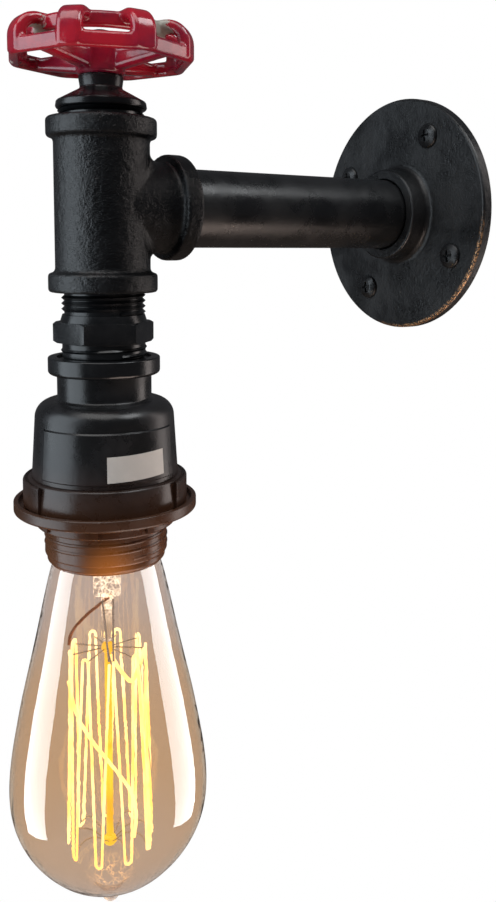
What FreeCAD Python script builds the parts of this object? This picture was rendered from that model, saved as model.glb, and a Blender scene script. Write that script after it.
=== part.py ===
import FreeCAD, Part
import math
import os

# Pipe wall light with a valve handwheel and a screw-in cage-filament bulb.
# Lengths are in millimetres and angles in degrees.
# The origin is the centre of the flange's back face, on the wall.
# +Z is up and the arm leaves the wall along -Y.

# Overall layout
reach = 132.9
tee_half_run = 27.7
tee_branch = 28.25
wheel_gap = 0.3

# Fits
thread_gap = 0.1
running_gap = 0.08
seat_gap = 0.3
slip_gap = 0.35
square_gap = 0.1

# Three-quarter-inch pipe and its threads
pipe_r = 13.35
pipe_wall = 2.87
thread_r = 13.1
thread_length = 13.0
thread_bevel = 0.8

# Wall flange
flange_r = 45.2
flange_plate = 4.3
flange_edge_round = 0.9
boss_r = 17.4
boss_height = 12.6
boss_root_round = 2.2
boss_edge_round = 0.7
pipe_wall_clearance = 1.6

# Flange screws
screw_count = 4
screw_circle_r = 33.6
screw_first_angle = 61.7
screw_hole_r = 2.7
screw_head_r = 4.7
screw_head_height = 2.2
screw_shank_r = 2.3
screw_thread_r = 1.9
screw_length = 16.0
screw_point = 4.0
cross_slot_width = 1.2
cross_slot_length = 5.4
cross_slot_depth = 1.5

# Bush in the wall end of the pipe
bush_lip = 1.2
bush_depth = 8.0
bush_bore_r = 5.4

# Tee
tee_body_r = 15.4
tee_branch_r = 15.0
bead_r = 17.7
bead_width = 6.2
bead_round = 0.9
bead_root_round = 1.2
crotch_round = 4.0
tee_socket = 14.0
tee_chamber_r = 12.2
tee_side_chamber_r = 11.4

# Valve bonnet in the top of the tee
bonnet_lip_r = 13.8
bonnet_lip_width = 1.2
bonnet_lip_rise = 3.4
bonnet_cone = 4.4
bonnet_neck_r = 6.65
bonnet_top = 40.7
bonnet_cone_round = 1.0
bonnet_roof = 30.2
bonnet_cavity_r = 9.0

# Stem, packing and washers
stem_r = 4.0
stem_collar_r = 7.0
stem_collar = 2.4
stem_tail = 9.0
thrust_washer = 0.9
thrust_washer_r = 8.2
packing_r = 5.4
packing_height = 5.0
stem_square = 6.0
stem_thread_r = 2.5
stem_thread_length = 5.6

# Handwheel
wheel_r = 30.5
lobe_count = 8
wheel_turn = 2.0
band_bottom = 44.3
band_height = 4.8
band_wall = 3.2
band_corner_round = 7.0
band_edge_round = 1.1
lobe_width = 7.8
lobe_thickness = 4.2
lobe_top = 57.6
lobe_shoulder_round = 7.4
lobe_edge_round = 1.6
lobe_end_drop = 0.7
grip_ring_inset = 9.7
grip_ring_wall = 3.0
grip_ring_bottom = 51.6
grip_ring_height = 4.9
grip_ring_round = 1.2
hub_r = 7.7
hub_top_r = 8.4
hub_height = 8.6
hub_round = 0.8
spoke_count = 4
spoke_width = 5.2
spoke_foot = 1.0
spoke_round = 1.3
washer_r = 6.0
washer_bore_r = 2.7
washer_thickness = 1.0
nut_flats = 8.0
nut_height = 3.8

# Hex nipple under the tee
nipple_bore_r = 9.5
nipple_thread_shown = 7.2
nipple_cone = 2.3
nipple_cone_top_r = 13.4
nipple_cone_r = 14.1
nipple_flats = 28.6
nipple_hex = 6.8
nipple_neck = 4.7
nipple_neck_r = 14.0
nipple_end_thread = 12.6
hex_turn = 13.0
hex_bevel = 0.6

# Earth ring between the nipple and the tee's shoulder
earth_ring_thickness = 0.9
earth_ring_r = 12.8
earth_ring_bore_r = 10.4
earth_tab_width = 4.0
earth_tab_height = 5.0

# Lock collar
collar_r = 18.3
collar_height = 5.7
collar_top_round = 0.6
collar_foot_round = 1.3
collar_recess_r = 15.4
collar_recess = 0.8

# Lampholder cap
cap_neck_r = 15.45
cap_neck = 8.5
cap_height = 33.4
cap_shoulder_r = 22.5
cap_shoulder_round = 5.6
cap_neck_round = 1.2
cap_foot_r = 24.1
cap_wall = 2.0
cap_panel_count = 2
cap_panel_angle = 118.0
cap_panel_turn = -22.0
cap_panel_rise = 0.45
cap_panel_top = 7.4
cap_panel_foot = 1.2
cap_groove_width = 0.9
cap_groove_depth = 0.7

# Lampholder body
skirt_r = 25.8
skirt_height = 9.4
skirt_wall = 1.8
skirt_round = 1.1
skirt_pad_rise = 0.4
skirt_pad_overlap_angle = 5.0
upstand = 7.8
upstand_wall = 2.0
sleeve_r = 20.2
sleeve_wall = 1.9
sleeve_length = 28.8
sleeve_lip_r = 19.5
sleeve_lip = 2.6
ledge_r = 15.3
ledge_height = 2.0
ledge_rise = 2.4
spigot_height = 0.4

# Shade ring
ring_r = 30.2
ring_plate = 2.1
ring_lip = 1.6
ring_lip_width = 1.6
ring_boss_r = 23.1
ring_boss = 4.7
ring_gap = 0.7
ring_rib_count = 8
ring_rib_width = 2.6
ring_rib_rise = 0.9

# Socket insert, screw shell and contacts
insert_height = 10.4
shell_wall = 0.4
shell_depth = 24.6
shell_opening_r = 7.4
contact_strip = 0.4
contact_strip_width = 4.0
contact_strip_length = 11.0
contact_pad_r = 2.6
contact_pad = 0.55
terminal_length = 9.6
terminal_width = 6.4
terminal_height = 7.0
terminal_offset = 8.0
terminal_screw_shift = 1.4
terminal_wire_shift = 3.0
terminal_screw_r = 1.5
terminal_screw_head_r = 2.6
terminal_screw_head = 1.8
terminal_screw_grip = 3.0
insert_bevel = 0.4
insert_screw_offset = 16.9
insert_screw_r = 1.1
insert_screw_head_r = 2.0
insert_screw_head = 1.4

# Wires held inside, and their ferrules
wire_r = 1.1
wire_spacing = 3.2
wire_rise = 9.0
wire_bow = 1.0
wire_sag = 1.8
earth_wire_lift = 3.6
ferrule_r = 1.5
ferrule_length = 8.0
ferrule_inset = 0.6

# Bulb cap
bulb_cap_r = 13.1
bulb_cap_wall = 0.4
bulb_cap_length = 20.6
bulb_crown = 1.8
bulb_crown_r = 9.0
insulator_height = 1.7
insulator_r = 5.2
bulb_contact_r = 4.8
bulb_contact = 1.3

# Bulb glass, measured down from the cap's rim
glass_wall = 0.9
glass_neck_r = 12.3
glass_neck = 7.0
glass_belly_r = 33.9
glass_length = 131.0

# Control points of the glass's outline: ratios to the belly's radius and to the glass's length
glass_mouth_ratios = [(0.457, 0.008), (0.546, 0.038)]
glass_flank_ratios = [(0.708, 0.244), (0.841, 0.385), (0.900, 0.458), (1.092, 0.725)]
glass_foot_ratios = [(0.649, 0.870), (0.502, 0.893), (0.103, 0.935), (0.103, 1.0)]

# Glass mount inside the bulb
flare_height = 1.4
flare_drop = 8.0
stem_glass_r = 4.4
press_drop = 11.0
press_end_drop = 19.0
mount_tube_r = 2.1
upper_bead_drop = 37.0
lower_bead_rise = 23.0
rod_r = 1.2
bead_ball_r = 2.2

# Cage filament and the wires that carry it
filament_r = 0.2
filament_loops = 9
upper_cage_r = 12.8
lower_cage_r = 14.6
turn_width = 1.5
hook_r = 0.22
hook_clearance = 0.6
lead_r = 0.35
lead_spread = 40.0

# Places that follow from the sizes above
grip_ring_r = wheel_r - grip_ring_inset
tee_face = reach - tee_branch
pipe_bore_r = pipe_r - pipe_wall
socket_r = thread_r + thread_gap
hub_bottom = bonnet_top + wheel_gap
hub_top = hub_bottom + hub_height
nipple_top = -tee_half_run + tee_socket - earth_ring_thickness - 2 * thread_gap
cone_top = -tee_half_run - nipple_thread_shown
hex_top = cone_top - nipple_cone
hex_bottom = hex_top - nipple_hex
collar_top = hex_bottom - nipple_neck
collar_bottom = collar_top - collar_height
nipple_bottom = collar_top - nipple_end_thread
cap_bottom = collar_bottom - cap_height
cap_shoulder_z = collar_bottom - cap_neck
cap_slope = (cap_foot_r - cap_shoulder_r) / (cap_shoulder_z - cap_bottom)
upstand_r = cap_foot_r - cap_wall - cap_slope * upstand - thread_gap
skirt_bottom = cap_bottom - skirt_height
sleeve_bottom = cap_bottom - sleeve_length
sleeve_bore_r = sleeve_r - sleeve_wall
ledge_top = cap_bottom + ledge_rise
insert_bottom = ledge_top
insert_top = insert_bottom + insert_height
shell_bore_r = bulb_cap_r + slip_gap
shell_r = shell_bore_r + shell_wall
shell_top = insert_bottom - spigot_height
contact_bottom = shell_top - contact_strip - contact_pad
bulb_top = contact_bottom - seat_gap
insulator_top = bulb_top - bulb_contact
crown_top = insulator_top - insulator_height
crown_bottom = crown_top - bulb_crown
rim = crown_bottom - bulb_cap_length
ring_top = skirt_bottom - seat_gap
ring_plate_bottom = ring_top - ring_plate
ring_bottom = ring_plate_bottom - ring_boss
ring_bore_r = sleeve_r + ring_gap
upper_bead_z = rim - upper_bead_drop
lower_bead_z = rim - glass_length + lower_bead_rise

up = FreeCAD.Vector(0, 0, 1)
centre = FreeCAD.Vector(0, 0, 0)


def side_plane(r, z):
    """Point of a turned profile: radius and height."""
    return FreeCAD.Vector(r, 0, z)


def plan_plane(x, y):
    """Point of a plan outline."""
    return FreeCAD.Vector(x, y, 0)


def outline(corners, place=side_plane):
    """Closed face through the corners; a third number in a corner is the radius of its round."""
    points = [place(*corner[:2]) for corner in corners]
    rounds = [corner[2] if len(corner) > 2 else 0 for corner in corners]
    arcs = []
    for index, point in enumerate(points):
        if not rounds[index]:
            arcs.append((point, point, point))
            continue
        back = (points[index - 1] - point).normalize()
        ahead = (points[(index + 1) % len(points)] - point).normalize()
        half_angle = back.getAngle(ahead) / 2
        setback = rounds[index] / math.tan(half_angle)
        inward = (back + ahead).normalize()
        middle = point + inward * (rounds[index] / math.sin(half_angle) - rounds[index])
        arcs.append((point + back * setback, middle, point + ahead * setback))
    edges = []
    for index, (start, middle, end) in enumerate(arcs):
        if (end - start).Length > 1e-6:
            edges.append(Part.Arc(start, middle, end).toShape())
        following = arcs[(index + 1) % len(arcs)][0]
        if (following - end).Length > 1e-6:
            edges.append(Part.LineSegment(end, following).toShape())
    return Part.Face(Part.Wire(edges))


def turned(corners):
    """Solid turned about Z from a half profile."""
    return outline(corners).revolve(centre, up, 360)


def disc(radius, bottom, top):
    """Plain cylinder on the Z axis."""
    return Part.makeCylinder(radius, top - bottom, FreeCAD.Vector(0, 0, bottom), up)


def tube(outer_r, inner_r, bottom, top):
    """Plain tube on the Z axis."""
    return turned([(inner_r, bottom), (outer_r, bottom), (outer_r, top), (inner_r, top)])


def block(length, width, bottom, top):
    """Box centred on the Z axis, length along X and width along Y."""
    corner = FreeCAD.Vector(-length / 2, -width / 2, bottom)
    return Part.makeBox(length, width, top - bottom, corner)


def hexagon(flats, bottom, top, turn=0.0):
    """Hexagonal prism on the Z axis with its corners beveled as on a nut."""
    corner_r = flats / math.sqrt(3)
    angles = [math.radians(turn + 60 * side) for side in range(6)]
    corners = [(corner_r * math.cos(angle), corner_r * math.sin(angle)) for angle in angles]
    prism = outline(corners, plan_plane).extrude(up * (top - bottom))
    prism.translate(up * bottom)
    low = corner_r - hex_bevel * 1.4
    barrel = turned([
        (0, bottom), (low, bottom), (corner_r, bottom + hex_bevel),
        (corner_r, top - hex_bevel), (low, top), (0, top),
    ])
    return prism.common(barrel)


def spun(shape, angle):
    """Copy turned about Z."""
    copy = shape.copy()
    copy.rotate(centre, up, angle)
    return copy


def around(shape, count, first=0.0):
    """Copies spaced evenly about Z."""
    return [spun(shape, first + 360 * index / count) for index in range(count)]


def on_lamp(shape):
    """Place a piece that was drawn about Z on the lamp's vertical axis."""
    copy = shape.copy()
    copy.translate(FreeCAD.Vector(0, -reach, 0))
    return copy


def on_arm(shape):
    """Lay a piece that was drawn about Z along the arm; its height becomes distance from the wall."""
    copy = shape.copy()
    copy.rotate(centre, FreeCAD.Vector(1, 0, 0), 90)
    return copy


def fused(shapes):
    """One solid from pieces that overlap."""
    return shapes[0].fuse(shapes[1:]).removeSplitter()


def rod(start, end, radius):
    """Round bar between two points."""
    return Part.makeCylinder(radius, (end - start).Length, start, end - start)


def bent_path(points, share=0.45):
    """Straight runs joined by tangent arcs, and the list of the arcs' radii."""
    edges = []
    radii = []
    here = points[0]
    for before, corner, after in zip(points, points[1:], points[2:]):
        run_in = corner - before
        run_out = after - corner
        setback = share * min(run_in.Length, run_out.Length)
        half_turn = run_in.getAngle(run_out) / 2
        run_in.normalize()
        run_out.normalize()
        radius = setback / math.tan(half_turn)
        inward = (run_out - run_in).normalize()
        middle = corner + inward * (radius / math.cos(half_turn) - radius)
        start = corner - run_in * setback
        end = corner + run_out * setback
        edges.append(Part.LineSegment(here, start).toShape())
        edges.append(Part.Arc(start, middle, end).toShape())
        radii.append(radius)
        here = end
    edges.append(Part.LineSegment(here, points[-1]).toShape())
    return Part.Wire(edges), radii


def swept(points, radius, share=0.45):
    """Round wire along a bent path, with a printed check of its volume and bends."""
    path, radii = bent_path(points, share)
    start_direction = points[1] - points[0]
    ring = Part.Wire(Part.Circle(points[0], start_direction, radius).toShape())
    wire = path.makePipeShell([ring], True, False)
    ratio = wire.Volume / (math.pi * radius ** 2 * path.Length)
    print(f"wire of {path.Length:.1f} mm: volume ratio {ratio:.4f}, least bend {min(radii):.1f} mm")
    return wire


# Wall end


def wall_flange():
    """Cast floor flange: plate, screwed boss and the holes for its screws."""
    body = turned([
        (socket_r, 0), (flange_r, 0, 0.3), (flange_r, flange_plate, flange_edge_round),
        (boss_r + 0.6, flange_plate, boss_root_round), (boss_r, boss_height, boss_edge_round),
        (socket_r + thread_bevel, boss_height), (socket_r, boss_height - thread_bevel),
    ])
    hole = Part.makeCylinder(screw_hole_r, 2 * flange_plate, FreeCAD.Vector(screw_circle_r, 0, -1), up)
    return on_arm(body.cut(Part.makeCompound(around(hole, screw_count, screw_first_angle))))


def flange_screws():
    """Pan-head screws through the flange, heads outside and points in the wall."""
    head_top = flange_plate + screw_head_height
    point = flange_plate - screw_length
    screw = turned([
        (0, head_top), (screw_head_r * 0.55, head_top), (screw_head_r, flange_plate + 0.9, 1.4),
        (screw_head_r, flange_plate), (screw_shank_r, flange_plate), (screw_shank_r, -0.2),
        (screw_thread_r, -0.2), (screw_thread_r, point + screw_point), (0, point),
    ])
    slot = block(cross_slot_length, cross_slot_width, head_top - cross_slot_depth, head_top + 1)
    cross = slot.fuse(spun(slot, 90))
    screw = screw.cut(spun(cross, 35))
    screw.translate(FreeCAD.Vector(screw_circle_r, 0, 0))
    return on_arm(Part.makeCompound(around(screw, screw_count, screw_first_angle)))


def arm_pipe():
    """Steel pipe with a threaded end in the flange and one in the tee."""
    wall_end = pipe_wall_clearance
    tee_end = tee_face + thread_length
    return on_arm(turned([
        (pipe_bore_r, wall_end), (thread_r - thread_bevel, wall_end), (thread_r, wall_end + thread_bevel),
        (thread_r, boss_height), (pipe_r, boss_height + 0.4), (pipe_r, tee_face - 0.4),
        (thread_r, tee_face), (thread_r, tee_end - thread_bevel), (thread_r - thread_bevel, tee_end),
        (pipe_bore_r, tee_end),
    ]))


def pipe_bush():
    """Plastic bush that keeps the wires off the pipe's cut end."""
    lip_r = (pipe_bore_r + thread_r) / 2
    face = pipe_wall_clearance - bush_lip
    plug_r = pipe_bore_r - thread_gap
    return on_arm(turned([
        (bush_bore_r, face), (lip_r, face, 0.4), (lip_r, pipe_wall_clearance),
        (plug_r, pipe_wall_clearance), (plug_r, bush_depth), (bush_bore_r, bush_depth),
    ]))


# Tee


def tee():
    """Malleable tee: beaded run and branch around a chamber with three screwed sockets."""
    half = tee_half_run
    run = turned([
        (0, -half), (bead_r, -half, bead_round), (bead_r, bead_width - half, bead_round),
        (tee_body_r, bead_width - half, bead_root_round), (tee_body_r, half - bead_width, bead_root_round),
        (bead_r, half - bead_width, bead_round), (bead_r, half, bead_round), (0, half),
    ])
    branch_barrel = turned([(0, 0), (tee_branch_r, 0), (tee_branch_r, tee_branch - 1), (0, tee_branch - 1)])
    branch_bead = turned([
        (0, tee_branch - bead_width), (bead_r, tee_branch - bead_width, bead_round),
        (bead_r, tee_branch, bead_round), (0, tee_branch),
    ])
    flat = FreeCAD.Vector(1, 0, 0)
    branch_barrel.rotate(centre, flat, -90)
    branch_bead.rotate(centre, flat, -90)
    body = run.fuse(branch_barrel)
    crotch = [edge for edge in body.Edges if is_crotch(edge)]
    body = body.makeFillet(crotch_round, crotch)
    body = fused([body, branch_bead])
    socket = turned([
        (0, 0), (socket_r + thread_bevel, 0), (socket_r, -thread_bevel), (socket_r, -tee_socket),
        (0, -tee_socket),
    ])
    top = socket.copy()
    top.translate(up * half)
    foot = socket.mirror(centre, up)
    foot.translate(up * -half)
    side = socket.copy()
    side.translate(up * tee_branch)
    side.rotate(centre, flat, -90)
    chamber = disc(tee_chamber_r, -half, half)
    side_chamber = disc(tee_side_chamber_r, 0, tee_branch)
    side_chamber.rotate(centre, flat, -90)
    return on_lamp(body.cut([top, foot, side, chamber, side_chamber]))


def is_crotch(edge):
    """True for the edges where the branch meets the run."""
    box = edge.BoundBox
    inside_run = box.YMax < tee_body_r + 0.1 and box.YMin > 0.5
    return inside_run and box.ZMax < tee_body_r + 0.1 and box.ZMin > -tee_body_r - 0.1


# Valve group on top of the tee


def valve_bonnet():
    """Screwed plug with a cone and a neck that carries the stem."""
    foot = tee_half_run - thread_length
    lip = tee_half_run + bonnet_lip_rise
    cone_foot = lip + bonnet_lip_width
    cone_head = cone_foot + bonnet_cone
    stem_bore_r = stem_r + running_gap
    packing_bore_r = packing_r + thread_gap
    return on_lamp(turned([
        (bonnet_cavity_r, foot), (thread_r - thread_bevel, foot), (thread_r, foot + thread_bevel),
        (thread_r, lip), (bonnet_lip_r, lip + 0.3), (bonnet_lip_r, cone_foot, 0.3),
        (bonnet_neck_r, cone_head, bonnet_cone_round), (bonnet_neck_r, bonnet_top, 0.4),
        (stem_bore_r, bonnet_top), (stem_bore_r, bonnet_roof + packing_height),
        (packing_bore_r, bonnet_roof + packing_height), (packing_bore_r, bonnet_roof),
        (bonnet_cavity_r, bonnet_roof),
    ]))


def stem_packing():
    """Packing ring that grips the stem inside the bonnet's neck."""
    head = bonnet_roof + packing_height - seat_gap
    return on_lamp(tube(packing_r, stem_r + running_gap, bonnet_roof, head))


def thrust_washer_ring():
    """Washer between the stem's collar and the bonnet's roof."""
    top = bonnet_roof - thread_gap
    return on_lamp(tube(thrust_washer_r, stem_r + slip_gap, top - thrust_washer, top))


def valve_stem():
    """Stem: collar under the roof, round shaft, square for the wheel and threaded end."""
    collar_head = bonnet_roof - thread_gap - thrust_washer - seat_gap
    collar_foot = collar_head - stem_collar
    tail = collar_foot - stem_tail
    square_top = hub_top - seat_gap
    thread_top = square_top + stem_thread_length
    shaft = turned([
        (0, tail), (stem_r - 0.5, tail), (stem_r, tail + 0.5), (stem_r, collar_foot),
        (stem_collar_r, collar_foot, 0.4), (stem_collar_r, collar_head, 0.4), (stem_r, collar_head),
        (stem_r, hub_bottom), (0, hub_bottom),
    ])
    square = block(stem_square, stem_square, hub_bottom, square_top)
    square = square.common(disc(stem_r, hub_bottom, square_top))
    end = turned([
        (0, square_top), (stem_thread_r, square_top), (stem_thread_r, thread_top - 0.5),
        (stem_thread_r - 0.5, thread_top), (0, thread_top),
    ])
    return on_lamp(spun(fused([shaft, square, end]), wheel_turn))


# Handwheel


def wheel_band():
    """Eight-sided outer band, its corners under the lobes."""
    loops = []
    angles = [2 * math.pi * index / lobe_count for index in range(lobe_count)]
    for inset in (0, band_wall):
        corner_r = wheel_r - inset
        corner_round = band_corner_round - inset
        corners = [(corner_r * math.cos(a), corner_r * math.sin(a), corner_round) for a in angles]
        loops.append(outline(corners, plan_plane).extrude(up * band_height))
    band = loops[0].cut(loops[1])
    level = [edge for edge in band.Edges if edge.BoundBox.ZLength < 1e-6]
    band = band.makeFillet(band_edge_round, level)
    band.translate(up * band_bottom)
    return band


def wheel_lobe():
    """One arch from the band up and over to the grip ring."""
    corner_r = wheel_r - band_corner_round * (1 / math.cos(math.pi / lobe_count) - 1)
    outside = corner_r - 0.1
    inside = outside - lobe_thickness
    foot = band_bottom + band_edge_round
    ceiling = lobe_top - lobe_thickness
    inner_end = grip_ring_r - grip_ring_wall / 2
    arch = outline([
        (inside, foot), (outside, foot), (outside, lobe_top, lobe_shoulder_round),
        (inner_end, lobe_top - lobe_end_drop), (inner_end, ceiling),
        (inside, ceiling, lobe_shoulder_round - lobe_thickness),
    ])
    lobe = arch.extrude(FreeCAD.Vector(0, lobe_width, 0))
    lobe.translate(FreeCAD.Vector(0, -lobe_width / 2, 0))
    side_edges = [edge for edge in lobe.Edges if edge.BoundBox.YLength < 1e-6]
    long_edges = [edge for edge in side_edges if not is_cut_end(edge, foot, inner_end)]
    return lobe.makeFillet(lobe_edge_round, long_edges)


def is_cut_end(edge, foot, inner_end):
    """True for the edges of a lobe's two buried ends."""
    box = edge.BoundBox
    at_foot = box.ZLength < 1e-6 and abs(box.ZMin - foot) < 1e-6
    at_ring = box.XLength < 1e-6 and abs(box.XMin - inner_end) < 1e-6
    return at_foot or at_ring


def wheel_spoke():
    """One arm from the hub up to the band."""
    outer_end = (wheel_r - band_wall / 2) * math.cos(math.pi / lobe_count)
    side = outline([
        (stem_r + 2, hub_bottom + spoke_foot), (outer_end, band_bottom + 0.5),
        (outer_end, band_bottom + band_height - 0.5), (stem_r + 2, hub_top - 0.8),
    ])
    spoke = side.extrude(FreeCAD.Vector(0, spoke_width, 0))
    spoke.translate(FreeCAD.Vector(0, -spoke_width / 2, 0))
    side_edges = [edge for edge in spoke.Edges if edge.BoundBox.YLength < 1e-6]
    long_edges = [edge for edge in side_edges if edge.BoundBox.XLength > 1]
    return spoke.makeFillet(spoke_round, long_edges)


def handwheel():
    """Cast handwheel: hub, spokes, eight-sided band, arched lobes and the inner grip ring."""
    ring_top_z = grip_ring_bottom + grip_ring_height
    ring_inner = grip_ring_r - grip_ring_wall
    grip_ring = turned([
        (ring_inner, grip_ring_bottom, grip_ring_round), (grip_ring_r, grip_ring_bottom, grip_ring_round),
        (grip_ring_r, ring_top_z, grip_ring_round), (ring_inner, ring_top_z, grip_ring_round),
    ])
    hub = turned([
        (0, hub_bottom), (hub_r, hub_bottom, hub_round), (hub_top_r, hub_top, hub_round), (0, hub_top),
    ])
    spoke_angle = 180 / lobe_count
    pieces = [hub, wheel_band(), grip_ring]
    pieces += around(wheel_spoke(), spoke_count, spoke_angle)
    pieces += around(wheel_lobe(), lobe_count)
    hole_side = stem_square + 2 * square_gap
    hole = block(hole_side, hole_side, hub_bottom, hub_top)
    hole = hole.common(disc(stem_r + square_gap, hub_bottom, hub_top))
    return on_lamp(spun(fused(pieces).cut(hole), wheel_turn))


def wheel_washer():
    """Flat washer on the hub."""
    return on_lamp(tube(washer_r, washer_bore_r, hub_top, hub_top + washer_thickness))


def wheel_nut():
    """Nut that holds the wheel on its stem."""
    foot = hub_top + washer_thickness
    nut = hexagon(nut_flats, foot, foot + nut_height)
    return on_lamp(nut.cut(disc(stem_thread_r + thread_gap, foot, foot + nut_height)))


# Nipple, earth ring and collar under the tee


def hex_nipple():
    """Hollow hex nipple: thread into the tee, cone, hexagon, neck and thread into the cap."""
    body = turned([
        (nipple_bore_r, nipple_top), (thread_r - thread_bevel, nipple_top),
        (thread_r, nipple_top - thread_bevel), (thread_r, cone_top), (nipple_cone_top_r, cone_top),
        (nipple_cone_r, hex_top), (nipple_cone_r, hex_bottom), (nipple_neck_r, hex_bottom),
        (nipple_neck_r, collar_top), (thread_r, collar_top), (thread_r, nipple_bottom + thread_bevel),
        (thread_r - thread_bevel, nipple_bottom), (nipple_bore_r, nipple_bottom),
    ])
    flats = hexagon(nipple_flats, hex_bottom, hex_top, hex_turn)
    bore = disc(nipple_bore_r, nipple_bottom, nipple_top)
    return on_lamp(fused([body, flats]).cut(bore))


def earth_ring():
    """Tabbed ring that bonds the tee to the earth wire."""
    foot = nipple_top + thread_gap
    top = foot + earth_ring_thickness
    ring = tube(earth_ring_r, earth_ring_bore_r, foot, top)
    tab = block(earth_ring_thickness, earth_tab_width, foot, top + earth_tab_height)
    tab.translate(FreeCAD.Vector(earth_ring_bore_r + 0.8, 0, 0))
    return on_lamp(spun(fused([ring, tab]), -90))


def lock_collar():
    """Round nut that clamps the lampholder cap on the nipple."""
    return on_lamp(turned([
        (socket_r, collar_bottom), (collar_r, collar_bottom, collar_foot_round),
        (collar_r, collar_top, collar_top_round), (collar_recess_r, collar_top),
        (collar_recess_r, collar_top - collar_recess), (socket_r, collar_top - collar_recess),
    ]))


# Lampholder


def cap_profile(inset):
    """Corners of the cap's outside, or of a surface that lies inset millimetres within it."""
    shoulder_round = max(cap_shoulder_round - inset, 1.0)
    return [
        (cap_neck_r - inset, cap_shoulder_z - inset, cap_neck_round + inset),
        (cap_shoulder_r - inset, cap_shoulder_z - inset, shoulder_round),
        (cap_foot_r - inset, cap_bottom),
    ]


def holder_cap():
    """Domed cap of the lampholder with two raised grip panels, each between two grooves."""
    cavity_roof = cap_shoulder_z - cap_wall
    outside = [(0, collar_bottom), (cap_neck_r, collar_bottom, 0.3)] + cap_profile(0) + [(0, cap_bottom)]
    cavity = turned([(0, cavity_roof)] + cap_profile(cap_wall)[1:] + [(0, cap_bottom)])
    panel_top = cap_shoulder_z - cap_panel_top
    panel_foot = cap_bottom + cap_panel_foot
    top_r = cap_shoulder_r + cap_slope * (cap_shoulder_z - panel_top)
    foot_r = cap_shoulder_r + cap_slope * (cap_shoulder_z - panel_foot)
    plate = outline([
        (top_r - 1, panel_top), (top_r, panel_top), (top_r + cap_panel_rise, panel_top - cap_panel_rise),
        (foot_r + cap_panel_rise, panel_foot + cap_panel_rise), (foot_r, panel_foot),
        (foot_r - 1, panel_foot),
    ])
    panel = plate.revolve(centre, up, cap_panel_angle)
    first = cap_panel_turn - cap_panel_angle / 2
    panels = around(panel, cap_panel_count, first)
    floor_top_r = top_r - cap_groove_depth
    floor_foot_r = foot_r - cap_groove_depth
    groove = outline([
        (floor_top_r, panel_top), (foot_r + 2, panel_top), (foot_r + 2, panel_foot),
        (floor_foot_r, panel_foot),
    ]).revolve(centre, up, math.degrees(cap_groove_width / foot_r))
    grooves = around(groove, cap_panel_count, first)
    grooves += around(groove, cap_panel_count, first + cap_panel_angle)
    shell = fused([turned(outside)] + panels).cut([cavity] + grooves)
    return on_lamp(shell.cut(disc(socket_r, cavity_roof - 1, collar_bottom)))


def holder_body():
    """Lower half of the lampholder: upstand, skirt with raised pads, insert ledge and threaded sleeve."""
    upstand_top = cap_bottom + upstand
    web = cap_bottom - skirt_wall
    lip_top = sleeve_bottom + sleeve_lip
    ledge_bottom = ledge_top - ledge_height
    body = turned([
        (upstand_r - upstand_wall, upstand_top), (upstand_r, upstand_top),
        (upstand_r, cap_bottom), (skirt_r, cap_bottom, skirt_round), (skirt_r, skirt_bottom, 0.4),
        (skirt_r - skirt_wall, skirt_bottom), (skirt_r - skirt_wall, web), (sleeve_r, web),
        (sleeve_r, lip_top), (sleeve_lip_r, lip_top - 0.7), (sleeve_lip_r, sleeve_bottom, 0.5),
        (sleeve_bore_r, sleeve_bottom), (sleeve_bore_r, ledge_bottom), (ledge_r, ledge_bottom),
        (ledge_r, ledge_top), (upstand_r - upstand_wall, ledge_top),
    ])
    pad = outline([
        (skirt_r - skirt_wall / 2, skirt_bottom + skirt_pad_rise), (skirt_r, skirt_bottom + skirt_pad_rise),
        (skirt_r + skirt_pad_rise, skirt_bottom + 2 * skirt_pad_rise),
        (skirt_r + skirt_pad_rise, cap_bottom - skirt_round), (skirt_r, cap_bottom - skirt_round),
        (skirt_r - skirt_wall / 2, cap_bottom - skirt_round),
    ])
    spacing = 360 / cap_panel_count
    pad_angle = spacing - cap_panel_angle + 2 * skirt_pad_overlap_angle
    pads = around(pad.revolve(centre, up, pad_angle), cap_panel_count,
                  cap_panel_turn + spacing / 2 - pad_angle / 2)
    return on_lamp(fused([body] + pads).cut(insert_screw_holes(ledge_bottom, ledge_top)))


def insert_screw_holes(bottom, top):
    """Cylinders for the two screws that go through the insert into the body's ledge."""
    hole = disc(insert_screw_r + thread_gap, bottom, top)
    hole.translate(FreeCAD.Vector(0, insert_screw_offset, 0))
    return around(hole, 2)


def socket_insert():
    """Moulded insert that carries the contacts, seated on the body's ledge."""
    outer_r = upstand_r - upstand_wall - thread_gap
    body = turned([
        (0, insert_bottom), (outer_r, insert_bottom), (outer_r, insert_top - insert_bevel),
        (outer_r - insert_bevel, insert_top), (0, insert_top),
    ])
    cuts = []
    for side in (-1, 1):
        pocket = disc(terminal_screw_r + thread_gap, insert_top - terminal_screw_grip, insert_top)
        pocket.translate(FreeCAD.Vector(side * (terminal_offset + terminal_screw_shift), 0, 0))
        cuts.append(pocket)
    cuts += insert_screw_holes(insert_bottom, insert_top)
    spigot = disc(ledge_r - seat_gap, shell_top, insert_bottom)
    return on_lamp(fused([body, spigot]).cut(cuts))


def socket_shell():
    """Brass screw shell for the bulb's cap."""
    return on_lamp(turned([
        (shell_opening_r, shell_top - shell_wall), (shell_bore_r, shell_top - shell_wall),
        (shell_bore_r, shell_top - shell_depth), (shell_r, shell_top - shell_depth),
        (shell_r, shell_top, 0.3), (shell_opening_r, shell_top),
    ]))


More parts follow.
